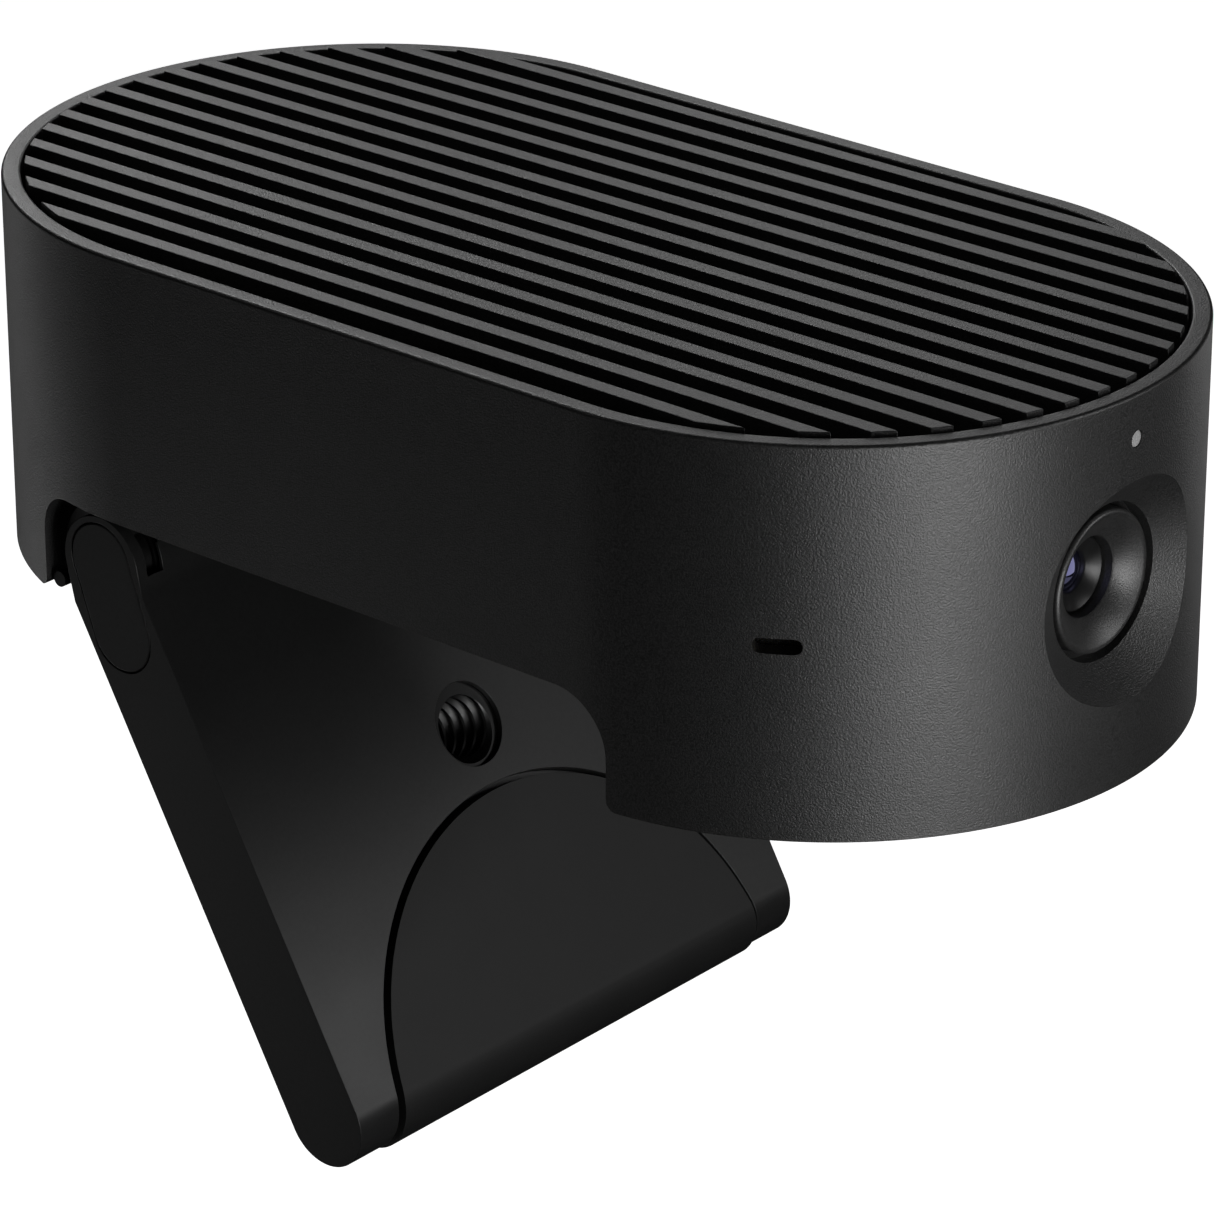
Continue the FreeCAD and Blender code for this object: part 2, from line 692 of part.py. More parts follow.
# ---- hinge --------------------------------------------------------------------------------------
def make_leaf():
    inner = leaf_x - leaf_thickness
    disc = rod_x(leaf_radius, inner, leaf_x, hinge_y, hinge_z)
    behind = hinge_y + leaf_radius
    kept = box(inner, leaf_x, hinge_y - leaf_neck / 2, behind, hinge_z, hinge_z + leaf_radius)
    kept = kept.fuse(box(inner, leaf_x, hinge_y, behind, hinge_z - leaf_below, hinge_z))
    leaf = disc.common(kept.removeSplitter())
    leaf = leaf.fuse(rod_x(leaf_eye_radius, inner, leaf_x, hinge_y, hinge_z))
    neck_top = tray_top + leaf_flange_thickness / 2
    neck = box(inner, leaf_x, hinge_y - leaf_neck / 2, hinge_y + leaf_neck / 2, hinge_z, neck_top)
    angle = math.radians(leaf_nub_angle)
    nub_y = hinge_y + leaf_nub_reach * math.cos(angle)
    nub_z = hinge_z + leaf_nub_reach * math.sin(angle)
    nub = rod_x(leaf_nub_radius, inner, leaf_x + leaf_nub_length, nub_y, nub_z)
    low = hinge_z - leaf_nub_radius
    high = hinge_z + leaf_nub_radius
    root = box(inner, leaf_x, hinge_y, hinge_y + leaf_nub_reach, low, high)
    root.rotate(V(0, hinge_y, hinge_z), V(1, 0, 0), leaf_nub_angle)
    rear = hinge_y + leaf_neck / 2
    flange = box(
        leaf_x - leaf_flange_width, leaf_x, rear - leaf_flange_length, rear,
        tray_top, tray_top + leaf_flange_thickness,
    )
    leaf = leaf.fuse([neck, nub, root, flange])
    leaf = leaf.cut(rod_x(pin_radius + running_gap, inner, leaf_x, hinge_y, hinge_z))
    flange_top = tray_top + leaf_flange_thickness
    for x, y in leaf_screw_places():
        leaf = leaf.cut(rod_z(small_screw_radius + seat_gap, tray_top, flange_top, x, y))
    return leaf.removeSplitter()


def make_leaf_screws():
    under_head = tray_top + leaf_flange_thickness
    length = leaf_flange_thickness + leaf_screw_bite
    screws = [screw_z_down(x, y, under_head, length) for x, y in leaf_screw_places()]
    return screws + [mirrored(screw) for screw in screws]


def make_pin():
    inner = slot_x - pin_inner_reach
    outer = arm_half_width - cap_depth - seat_gap
    return rod_x(pin_radius, inner, outer, hinge_y, hinge_z)


def make_washer():
    inner = washer_x - washer_thickness
    washer = rod_x(washer_radius, inner, washer_x, hinge_y, hinge_z)
    return washer.cut(rod_x(pin_radius + seat_gap, inner, washer_x, hinge_y, hinge_z))


# ---- arm: built lying along -Y from the hinge, inner face up ------------------------------------
def opened(shape):
    """Turn a piece of the arm from folded flat to the angle it stands at."""
    turned = shape.copy()
    turned.rotate(V(0, hinge_y, hinge_z), V(1, 0, 0), arm_angle)
    return turned


def arm_point(along, height):
    return V(0, hinge_y - along, hinge_z + height)


def tangent_on_knuckle(along, height, side):
    """Where the line from a point on a flat face touches the knuckle; side +1 is the inner face."""
    distance = math.hypot(along, height)
    bearing = math.atan2(height, along)
    spread = math.acos(knuckle_radius / distance)
    angle = bearing + side * spread
    return arm_point(knuckle_radius * math.cos(angle), knuckle_radius * math.sin(angle))


def arm_profile(grow):
    """Side outline of the arm, grown all round."""
    inner = arm_inner + grow
    outer = -arm_outer - grow
    half = arm_half_thickness + grow
    top = tangent_on_knuckle(arm_inner_start, arm_inner, 1)
    low = tangent_on_knuckle(arm_outer_start, -arm_outer, -1)
    points = [
        top, arm_point(arm_inner_start, inner), arm_point(tip_centre, inner),
        arm_point(tip_centre + half, arm_middle), arm_point(tip_centre, outer),
        arm_point(arm_outer_start, outer), low, arm_point(-knuckle_radius, 0),
    ]
    edges = [
        Part.LineSegment(points[0], points[1]).toShape(),
        Part.LineSegment(points[1], points[2]).toShape(),
        Part.Arc(points[2], points[3], points[4]).toShape(),
        Part.LineSegment(points[4], points[5]).toShape(),
        Part.LineSegment(points[5], points[6]).toShape(),
        Part.Arc(points[6], points[7], points[0]).toShape(),
    ]
    return Part.Wire(edges)


def pad_region(radius, grow):
    """Space over the inner face and round the tip, inside a half circle about the tip's edge."""
    middle = arm_point(tip_reach, 0)
    disc = Part.makeCylinder(radius, 4 * arm_outer, V(0, middle.y, hinge_z - 2 * arm_outer), V(0, 0, 1))
    before = middle.y - grow - through
    over = box(-radius, radius, before, hinge_y, hinge_z + arm_middle, hinge_z + 2 * arm_outer)
    tip_y = arm_point(tip_centre, 0).y
    tip = box(-radius, radius, before, tip_y, hinge_z - 2 * arm_outer, hinge_z + arm_middle)
    region = over.fuse(tip)
    return disc.common(region).common(across(arm_profile(grow), radius))


def cap_outline(radius, x0, x1):
    """Pill shape over the hinge on the arm's side."""
    length = math.hypot(cap_length, cap_shift)
    rear = hinge_y + cap_setback
    pill = box(x0, x1, hinge_y - length, rear, hinge_z - radius, hinge_z + radius)
    pill = pill.fuse(rod_x(radius, x0, x1, rear, hinge_z))
    pill = pill.fuse(rod_x(radius, x0, x1, hinge_y - length, hinge_z))
    pill.rotate(V(0, hinge_y, hinge_z), V(1, 0, 0), math.degrees(math.atan2(cap_shift, cap_length)))
    return pill.removeSplitter()


def make_arm():
    arm = across(arm_profile(0), arm_half_width)
    arm = arm.cut(pad_region(pad_radius, through).cut(across(arm_profile(-pad_sunk), body_width)))
    leaf_slot = rod_x(leaf_radius + swing_gap, slot_x, cheek_x, hinge_y, hinge_z)
    ahead = hinge_y - leaf_neck / 2 - slot_front_gap
    skin = box(slot_x, cheek_x, hinge_y - body_width, ahead, hinge_z, hinge_z + body_width)
    leaf_slot = leaf_slot.cut(skin)
    leaf_slot = leaf_slot.fuse(rod_x(washer_radius + slot_front_gap, slot_x, cheek_x, hinge_y, hinge_z))
    behind = hinge_y + 2 * leaf_radius
    swing = box(slot_x, cheek_x, hinge_y, behind, hinge_z - leaf_radius, hinge_z + leaf_radius)
    pocket = cap_outline(cap_radius + seat_gap, arm_half_width - cap_depth, arm_half_width + through)
    pin_hole = rod_x(pin_radius, slot_x - pin_inner_reach - seat_gap, arm_half_width, hinge_y, hinge_z)
    for cutter in (leaf_slot.fuse(swing), pocket, pin_hole):
        arm = arm.cut(cutter).cut(mirrored(cutter))
    place = arm_point(thread_along, 0)
    low = hinge_z - arm_outer
    high = hinge_z + arm_inner
    arm = arm.cut(rod_z(thread_mouth_radius, low - through, high + through, 0, place.y))
    arm = arm.cut(rod_z(insert_radius, low + insert_setback, high - insert_setback, 0, place.y))
    return opened(arm.removeSplitter())


def make_grip_pad():
    pad = pad_region(pad_radius - pad_groove, pad_proud)
    pad = pad.cut(across(arm_profile(-pad_sunk + seat_gap), body_width))
    return opened(pad.removeSplitter())


def make_insert():
    place = arm_point(thread_along, 0)
    low = hinge_z - arm_outer + insert_setback
    high = hinge_z + arm_inner - insert_setback
    insert = rod_z(insert_radius - seat_gap, low + seat_gap, high - seat_gap, 0, place.y)
    return opened(insert.cut(rod_z(thread_minor_radius, low, high, 0, place.y)))


def make_cap():
    return opened(cap_outline(cap_radius, arm_half_width - cap_depth + seat_gap, arm_half_width))


# ---- write every piece --------------------------------------------------------------------------
front_glass_y = lens_seat_y - element_proud
middle_glass_y = lens_seat_y + element_thickness + middle_element_gap
rear_glass_y = middle_glass_y + rear_element_setback

pieces = {
    "housing": make_housing(),
    "base_tray": make_tray(),
    "rest_pad": rest_pad_block(0, rest_pad_thickness - rest_pad_proud - seat_gap),
    "heat_sink": make_heat_sink(),
    "light_board": make_light_board(),
    "status_light": make_status_light(),
    "lens_ring": make_lens_ring(),
    "lens_barrel": make_barrel(),
    "front_lens": glass(element_radius, front_glass_y, element_thickness, element_dome),
    "middle_lens": glass(
        inner_element_radius, middle_glass_y, inner_element_thickness, middle_element_dome,
    ),
    "rear_lens": glass(inner_element_radius, rear_glass_y, inner_element_thickness, rear_element_dome),
    "lens_holder": make_holder(),
    "infrared_filter": make_filter(),
    "image_sensor": make_image_sensor(),
    "sensor_board": make_sensor_board(),
    "main_board": make_main_board(),
    "processor": box(-chip_side / 2, chip_side / 2, -chip_side / 2, chip_side / 2, board_top, chip_top),
    "thermal_pad": box(
        -chip_side / 2, chip_side / 2, -chip_side / 2, chip_side / 2,
        chip_top, chip_top + thermal_pad_thickness,
    ),
    "data_port": make_port(),
    "sensor_screws": Part.makeCompound(make_sensor_screws()),
    "board_screws": Part.makeCompound(make_board_screws()),
    "base_screws": Part.makeCompound(make_base_screws()),
    "leaf_screws": Part.makeCompound(make_leaf_screws()),
    "mount_arm": make_arm(),
    "grip_pad": make_grip_pad(),
    "thread_insert": make_insert(),
}

for name, side in (("left", -1), ("right", 1)):
    pieces["microphone_mesh_" + name] = make_mesh(side)
    pieces["microphone_" + name] = make_microphone(side)
    for piece, shape in (
        ("hinge_leaf", make_leaf()),
        ("hinge_pin", make_pin()),
        ("friction_washer", make_washer()),
        ("hinge_cap", make_cap()),
    ):
        pieces[piece + "_" + name] = shape if side > 0 else mirrored(shape)

for name, shape in pieces.items():
    export(shape, name)
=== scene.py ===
import json
import math

import bmesh
import bpy
from mathutils import Matrix, Vector

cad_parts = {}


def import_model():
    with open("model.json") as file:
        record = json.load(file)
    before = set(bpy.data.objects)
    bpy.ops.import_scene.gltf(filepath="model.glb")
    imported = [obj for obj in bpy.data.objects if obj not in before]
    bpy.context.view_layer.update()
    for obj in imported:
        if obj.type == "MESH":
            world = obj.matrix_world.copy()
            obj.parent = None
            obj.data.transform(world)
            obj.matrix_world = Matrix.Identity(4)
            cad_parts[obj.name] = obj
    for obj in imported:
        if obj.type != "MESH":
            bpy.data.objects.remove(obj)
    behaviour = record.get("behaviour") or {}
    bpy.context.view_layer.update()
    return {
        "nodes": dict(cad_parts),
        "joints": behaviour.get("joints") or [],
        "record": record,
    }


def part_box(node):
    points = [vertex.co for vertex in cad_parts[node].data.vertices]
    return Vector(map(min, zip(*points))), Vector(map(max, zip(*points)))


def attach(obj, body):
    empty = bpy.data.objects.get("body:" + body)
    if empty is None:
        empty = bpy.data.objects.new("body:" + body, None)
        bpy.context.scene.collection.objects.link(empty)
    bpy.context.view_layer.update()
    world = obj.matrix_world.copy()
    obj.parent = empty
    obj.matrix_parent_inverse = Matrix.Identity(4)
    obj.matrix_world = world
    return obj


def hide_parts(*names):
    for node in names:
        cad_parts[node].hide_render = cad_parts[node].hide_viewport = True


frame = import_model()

# Desk conference camera with a folding mount arm, dressed over its CAD frame.
# The lens looks along -Y and +Z is up. Lengths are in metres, written as millimetres times MM.

MM = 0.001
SMOOTH_ANGLE = math.radians(32)


def low(node):
    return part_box(node)[0]


def high(node):
    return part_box(node)[1]


def middle(node):
    return (low(node) + high(node)) / 2


# ---- body, from the frame --------------------------------------------------------------------
end_radius = high("housing").x
half_length = high("housing").y
half_straight = half_length - end_radius
bottom_z = low("housing").z
top_z = high("housing").z
wall = 1.55 * MM
inner_radius = end_radius - wall
outer_edge = 0.3 * MM
inner_edge = 0.2 * MM

# ---- underside step --------------------------------------------------------------------------
step_depth = 8.75 * MM
front_block = 25.75 * MM
rear_lip = 18.55 * MM
front_fillet = 4.8 * MM
rear_fillet = 3.9 * MM
lip_round = 0.9 * MM
ceiling_z = bottom_z + step_depth
front_wall_y = -half_length + front_block
rear_wall_y = half_length - rear_lip

# ---- heat sink -------------------------------------------------------------------------------
fin_pitch = 3.28 * MM
fin_thickness = 1.4 * MM
fin_height = 5.0 * MM
sink_base = 1.8 * MM
sink_ledge = 1.7 * MM
sink_ledge_thickness = 1.1 * MM
fin_top = high("heat_sink").z
sink_top = fin_top - fin_height
sink_bottom = sink_top - sink_base
sink_middle = sink_bottom + sink_base / 2
sink_radius = high("heat_sink").x
fin_radius = inner_radius - 0.28 * MM
post_radius = 2.6 * MM

# ---- lens ------------------------------------------------------------------------------------
lens_z = middle("lens_ring").z
dish_floor_y = low("lens_ring").y
ring_radius = high("lens_ring").x
ring_back_y = high("lens_ring").y
ring_bore = 3.1 * MM
ring_face_drop = 1.35 * MM
dish_edge_radius = 8.7 * MM
dish_floor_radius = 6.1 * MM
boss_radius = 8.0 * MM
boss_y = -half_length + 4.25 * MM
barrel_radius = high("lens_barrel").x
barrel_front_y = low("lens_barrel").y
barrel_back_y = high("lens_barrel").y
barrel_face_drop = 0.7 * MM
lens_radius = high("front_lens").x
element_bore = 2.1 * MM
lens_seat_depth = 1.6 * MM
lens_gap = 0.05 * MM
mouth_bevel = 0.06 * MM

# ---- openings in the shell -------------------------------------------------------------------
light_z = middle("status_light").z
light_radius = 0.7 * MM
microphone_angle = math.radians(58)
slot_length = 3.7 * MM
slot_height = 1.2 * MM
port_low, port_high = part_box("data_port")
fit_gap = 0.05 * MM
port_wall = 0.3 * MM
tongue_half = 3.2 * MM
tongue_thickness = 0.7 * MM
tongue_setback = 0.8 * MM
contact_count = 12
contact_setback = 0.4 * MM
contact_pitch = 0.5 * MM
contact_half = 0.13 * MM
mesh_half_width = 2.2 * MM
mesh_half_height = 1.1 * MM
mesh_setback = 0.22 * MM
wire_pitch = 0.2 * MM
wire_radius = 0.045 * MM

# ---- fasteners -------------------------------------------------------------------------------
screw_head_radius = 1.9 * MM
screw_head_height = 1.0 * MM
socket_radius = 0.85 * MM
socket_depth = 0.6 * MM
shank_radius = 0.95 * MM

# ---- hinge and arm, measured along the arm from the hinge and up from it with the arm folded flat 
hinge = frame["joints"][0]
hinge_y = hinge["pos_m"][1]
hinge_z = hinge["pos_m"][2]
arm_angle = math.radians(-hinge["range_deg"][0])
arm_half_width = high("mount_arm").x
knuckle_radius = 3.98 * MM
arm_inner = 3.02 * MM
arm_outer = -4.72 * MM
arm_inner_start = 0.88 * knuckle_radius
arm_outer_start = 0.5 * knuckle_radius
tip_reach = 50.9 * MM
arm_middle = (arm_inner + arm_outer) / 2
arm_half_thickness = (arm_inner - arm_outer) / 2
tip_centre = tip_reach - arm_half_thickness
pad_radius = high("grip_pad").x
pad_groove = 0.5 * MM
pad_sunk = 1.1 * MM
pad_proud = 0.3 * MM
cheek_thickness = 1.05 * MM
leaf_gap = 0.1 * MM
leaf_thickness = 1.5 * MM
leaf_outer_x = arm_half_width - cheek_thickness - leaf_gap
nub_outer_x = high("hinge_leaf_right").x
leaf_inner_x = leaf_outer_x - leaf_thickness
leaf_radius = 5.0 * MM
leaf_neck = 1.8 * MM
leaf_eye_radius = 3.0 * MM
leaf_below = 3.3 * MM
nub_radius = 0.65 * MM
nub_reach = 5.7 * MM
nub_angle = math.radians(-29)
cheek_x = leaf_outer_x + leaf_gap
arm_slot_x = low("friction_washer_right").x - leaf_gap
flange_length = 11.5 * MM
flange_thickness = 1.2 * MM
pin_radius = 1.6 * MM
pin_gap = 0.03 * MM
swing_gap = 0.7 * MM
slot_front_gap = 0.4 * MM
slot_eye_radius = 3.7 * MM
cap_radius = 3.15 * MM
cap_length = 5.7 * MM
cap_setback = 0.25 * MM
cap_shift = 1.0 * MM
cap_depth = 0.5 * MM
thread_along = 23.45 * MM
thread_minor = 2.55 * MM
thread_major = 3.2 * MM
thread_pitch = 1.27 * MM
thread_mouth = 3.53 * MM
insert_radius = 4.4 * MM
insert_setback = 0.5 * MM


# ---- bevels and mesh clean-up ----------------------------------------------------------------
fine_bevel = 0.12 * MM
fin_bevel = 0.24 * MM
rest_bevel = 0.2 * MM
port_bevel = 0.06 * MM
tongue_bevel = 0.08 * MM
arm_bevel = 0.15 * MM
grip_bevel = 0.18 * MM
weld_distance = 0.002 * MM
face_weight = 60


# ---- flat outlines ---------------------------------------------------------------------------
def arc(centre, radius, start, end, steps):
    """Points on an arc, from one angle to another, both ends included."""
    angles = [start + (end - start) * i / steps for i in range(steps + 1)]
    return [(centre[0] + radius * math.cos(a), centre[1] + radius * math.sin(a)) for a in angles]


def circle(radius, centre=(0, 0), steps=96):
    return arc(centre, radius, 0, math.tau, steps)[:-1]


def pill(half_width, radius, steps=24):
    """Outline with half-round ends, lying along its first axis."""
    reach = half_width - radius
    right = arc((reach, 0), radius, -math.pi / 2, math.pi / 2, steps)
    left = arc((-reach, 0), radius, math.pi / 2, 3 * math.pi / 2, steps)
    return right + left


def rounded(corners, steps=12):
    """Outline through (u, v, radius) corners, each rounded by its radius."""
    points = []
    for i, (u, v, radius) in enumerate(corners):
        here = Vector((u, v))
        if radius == 0:
            points.append((u, v))
            continue
        back = (Vector(corners[i - 1][:2]) - here).normalized()
        ahead = (Vector(corners[(i + 1) % len(corners)][:2]) - here).normalized()
        half = back.angle(ahead) / 2
        centre = here + (back + ahead).normalized() * (radius / math.sin(half))
        start = here + back * (radius / math.tan(half)) - centre
        end = here + ahead * (radius / math.tan(half)) - centre
        first = math.atan2(start.y, start.x)
        turn = math.remainder(math.atan2(end.y, end.x) - first, math.tau)
        points += arc(centre, radius, first, first + turn, steps)
    return points


# ---- solids ----------------------------------------------------------------------------------
def along_x(u, v, w):
    return Vector((w, u, v))


def along_y(u, v, w):
    return Vector((u, w, v))


def along_z(u, v, w):
    return Vector((u, v, w))


def solid(name, shape):
    """Object from a bmesh, its faces all looking outward."""
    bmesh.ops.recalc_face_normals(shape, faces=shape.faces)
    mesh = bpy.data.meshes.new(name)
    shape.to_mesh(mesh)
    shape.free()
    made = bpy.data.objects.new(name, mesh)
    bpy.context.scene.collection.objects.link(made)
    return made


def extruded(outline, start, end, place):
    """Solid between two copies of a flat outline."""
    shape = bmesh.new()
    first = [shape.verts.new(place(u, v, start)) for u, v in outline]
    last = [shape.verts.new(place(u, v, end)) for u, v in outline]
    shape.faces.new(first)
    shape.faces.new(last)
    for i in range(len(outline)):
        shape.faces.new((first[i - 1], first[i], last[i], last[i - 1]))
    return solid("extruded", shape)


def rod(radius, centre, start, end, place, steps=96):
    return extruded(circle(radius, centre, steps), start, end, place)


def block(corner, opposite):
    outline = [
        (corner[0], corner[1]), (opposite[0], corner[1]),
        (opposite[0], opposite[1]), (corner[0], opposite[1]),
    ]
    return extruded(outline, corner[2], opposite[2], along_z)


def turned(profile, centre, steps=128):
    """Solid turned about an axis along Y through centre, from (radius, y) points. A first or last
    point on the axis closes it there."""
    shape = bmesh.new()
    rings = []
    for radius, y in profile:
        count = steps if radius > 0 else 1
        angles = [math.tau * i / steps for i in range(count)]
        rings.append([
            shape.verts.new((centre[0] + radius * math.cos(a), y, centre[1] + radius * math.sin(a)))
            for a in angles
        ])
    pairs = list(zip(rings, rings[1:]))
    if len(rings[0]) > 1 and len(rings[-1]) > 1:
        pairs.append((rings[-1], rings[0]))
    for one, other in pairs:
        for i in range(steps):
            corners = [one[i % len(one)], one[(i + 1) % len(one)]]
            corners += [other[(i + 1) % len(other)], other[i % len(other)]]
            shape.faces.new(list(dict.fromkeys(corners)))
    return solid("turned", shape)


def round_the_body(profile, steps=150):
    """Solid whose (distance from the middle line, z) profile runs round the body's outline."""
    columns = []
    for end in (-1, 1):
        for i in range(steps + 1):
            angle = math.pi * i / steps + (math.pi if end < 0 else 0)
            columns.append((end * half_straight, math.cos(angle), math.sin(angle)))
    shape = bmesh.new()
    rows = [
        [shape.verts.new((c * distance, y + s * distance, z)) for distance, z in profile]
        for y, c, s in columns
    ]
    for i in range(len(rows)):
        for j in range(len(profile)):
            shape.faces.new((rows[i - 1][j - 1], rows[i - 1][j], rows[i][j], rows[i][j - 1]))
    return solid("round_the_body", shape)


def stadium(radius, start, end, steps=150):
    """Upright prism with the body's outline."""
    front = arc((0, -half_straight), radius, math.pi, math.tau, steps)
    rear = arc((0, half_straight), radius, 0, math.pi, steps)
    return extruded(front + rear, start, end, along_z)


def combined(target, tools, operation):
    """Cut, join or intersect a solid with others, which are used up."""
    for tool in tools:
        change = target.modifiers.new(operation, "BOOLEAN")
        change.operation = operation
        change.solver = "EXACT"
        change.object = tool
    bpy.context.view_layer.update()
    evaluated = target.evaluated_get(bpy.context.evaluated_depsgraph_get())
    result = bpy.data.meshes.new_from_object(evaluated)
    target.modifiers.clear()
    target.data = result
    for tool in tools:
        bpy.data.objects.remove(tool)
    return target


def cut(target, *tools):
    return combined(target, tools, "DIFFERENCE")


def joined(target, *tools):
    return combined(target, tools, "UNION")


def shared(target, *tools):
    return combined(target, tools, "INTERSECT")


def gathered(solids):
    """One object from several solids that only touch or pass through one another."""
    shape = bmesh.new()
    for made in solids:
        shape.from_mesh(made.data)
        bpy.data.objects.remove(made)
    return solid("gathered", shape)


def moved(made, matrix):
    made.data.transform(matrix)
    return made


def mirrored(made):
    """The same solid on the other side of the body."""
    made.data.transform(Matrix.Scale(-1, 4, Vector((1, 0, 0))))
    made.data.flip_normals()
    return made


def piece(name, made, body, material, nodes=(), bevel=0.0, bevel_steps=3):
    """Finish a solid: name, material, soft edges, what it rides on and what it stands for."""
    made.name = name
    made.data.name = name
    made.data.materials.clear()
    made.data.materials.append(material)
    soften(made, bevel, bevel_steps)
    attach(made, body)
    if nodes:
        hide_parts(*nodes)
    return made


def soften(made, bevel, bevel_steps):
    shape = bmesh.new()
    shape.from_mesh(made.data)
    bmesh.ops.remove_doubles(shape, verts=shape.verts, dist=weld_distance)
    bmesh.ops.dissolve_degenerate(shape, edges=shape.edges, dist=weld_distance)
    shape.to_mesh(made.data)
    shape.free()
    for face in made.data.polygons:
        face.use_smooth = True
    made.data.set_sharp_from_angle(angle=SMOOTH_ANGLE)
    if bevel > 0:
        edges = made.modifiers.new("soft_edges", "BEVEL")
        edges.width = bevel
        edges.segments = bevel_steps
        edges.limit_method = "ANGLE"
        edges.angle_limit = SMOOTH_ANGLE
        edges.use_clamp_overlap = True
    shading = made.modifiers.new("shading", "WEIGHTED_NORMAL")
    shading.keep_sharp = True
    shading.weight = face_weight


# ---- materials -------------------------------------------------------------------------------
def base_material(name, colour, roughness, metallic=0.0, ior=1.5):
    made = bpy.data.materials.new(name)
    made.use_nodes = True
    shader = made.node_tree.nodes["Principled BSDF"]
    shader.inputs["Base Color"].default_value = (*colour, 1)
    shader.inputs["Roughness"].default_value = roughness
    shader.inputs["Metallic"].default_value = metallic
    shader.inputs["IOR"].default_value = ior
    return made, shader


def noise(made, size, detail=2.0):
    """Noise whose blotches are about size across, in the piece's own space."""
    nodes = made.node_tree.nodes
    place = nodes.get("place") or nodes.new("ShaderNodeTexCoord")
    place.name = "place"
    pattern = nodes.new("ShaderNodeTexNoise")
    pattern.inputs["Scale"].default_value = 1 / size
    pattern.inputs["Detail"].default_value = detail
    made.node_tree.links.new(place.outputs["Object"], pattern.inputs["Vector"])
    return pattern.outputs["Fac"]


def varied(made, source, target, start, end, spread=0.25):
    """Run a noise between two values into a shader's socket."""
    change = made.node_tree.nodes.new("ShaderNodeMapRange")
    change.inputs["From Min"].default_value = 0.5 - spread
    change.inputs["From Max"].default_value = 0.5 + spread
    change.inputs["To Min"].default_value = start
    change.inputs["To Max"].default_value = end
    made.node_tree.links.new(source, change.inputs["Value"])
    made.node_tree.links.new(change.outputs["Result"], target)


def speckled(made, source, target, dark, light, spread=0.25):
    """Run a noise between two colours into a shader's socket."""
    ramp = made.node_tree.nodes.new("ShaderNodeValToRGB")
    ramp.color_ramp.elements[0].position = 0.5 - spread
    ramp.color_ramp.elements[0].color = (*dark, 1)
    ramp.color_ramp.elements[1].position = 0.5 + spread
    ramp.color_ramp.elements[1].color = (*light, 1)
    made.node_tree.links.new(source, ramp.inputs["Fac"])
    made.node_tree.links.new(ramp.outputs["Color"], target)


def bumped(made, shader, source, depth):
    """Raise a noise's bright parts by depth."""
    bump = made.node_tree.nodes.new("ShaderNodeBump")
    bump.inputs["Strength"].default_value = 1.0
    bump.inputs["Distance"].default_value = depth
    made.node_tree.links.new(source, bump.inputs["Height"])
    made.node_tree.links.new(bump.outputs["Normal"], shader.inputs["Normal"])


def grey(value):
    return (value, value, value)


def blasted_metal(name, tone, roughness, grain, depth):
    """Bead-blasted, black anodised aluminium: fine even speckle, faint cloudy variation."""
    made, shader = base_material(name, grey(tone), roughness, ior=1.8)
    fine = noise(made, grain, 1.0)
    speckled(made, fine, shader.inputs["Base Color"], grey(tone * 0.5), grey(tone * 1.7), 0.14)
    clouds = noise(made, 9 * MM, 3.0)
    varied(made, clouds, shader.inputs["Roughness"], roughness - 0.03, roughness + 0.03)
    bumped(made, shader, fine, depth)
    return made


def satin_paint(name, tone, roughness):
    """Smooth satin coat with a faint orange peel."""
    made, shader = base_material(name, grey(tone), roughness)
    peel = noise(made, 0.35 * MM, 2.0)
    clouds = noise(made, 6 * MM, 4.0)
    varied(made, clouds, shader.inputs["Roughness"], roughness - 0.03, roughness + 0.04)
    speckled(made, peel, shader.inputs["Base Color"], grey(tone * 0.85), grey(tone * 1.15))
    bumped(made, shader, peel, 0.0012 * MM)
    return made


def rubber(name, tone, roughness):
    made, shader = base_material(name, grey(tone), roughness, ior=1.45)
    fine = noise(made, 0.12 * MM, 2.0)
    clouds = noise(made, 5 * MM, 3.0)
    speckled(made, clouds, shader.inputs["Base Color"], grey(tone * 0.9), grey(tone * 1.1))
    varied(made, fine, shader.inputs["Roughness"], roughness - 0.05, roughness + 0.05)
    bumped(made, shader, fine, 0.002 * MM)
    return made


def machined_metal(name, colour, roughness):
    """Turned or stamped metal with fine tool marks."""
    made, shader = base_material(name, colour, roughness, metallic=1.0)
    marks = noise(made, 0.4 * MM, 4.0)
    varied(made, marks, shader.inputs["Roughness"], roughness - 0.06, roughness + 0.08)
    bumped(made, shader, noise(made, 0.08 * MM, 2.0), 0.001 * MM)
    return made


def coated_glass(name, tint, ior):
    """Dark camera glass with an anti-reflection coat that gives back one tint."""
    made, shader = base_material(name, (0.004, 0.004, 0.008), 0.03, ior=ior)
    shader.inputs["Specular Tint"].default_value = (*tint, 1)
    varied(made, noise(made, 0.6 * MM, 3.0), shader.inputs["Roughness"], 0.02, 0.05)
    return made


def circuit_board(name):
    made, shader = base_material(name, (0.008, 0.05, 0.022), 0.4)
    traces = noise(made, 1.2 * MM, 5.0)
    mask, copper = (0.006, 0.036, 0.016), (0.02, 0.09, 0.04)
    speckled(made, traces, shader.inputs["Base Color"], mask, copper, 0.06)
    varied(made, traces, shader.inputs["Roughness"], 0.3, 0.5)
    bumped(made, shader, traces, 0.02 * MM)
    return made


def diffuser(name):
    made, shader = base_material(name, grey(0.55), 0.35, ior=1.49)
    varied(made, noise(made, 0.2 * MM), shader.inputs["Roughness"], 0.3, 0.45)
    shader.inputs["Subsurface Weight"].default_value = 0.3
    shader.inputs["Subsurface Radius"].default_value = (0.3 * MM, 0.3 * MM, 0.3 * MM)
    return made


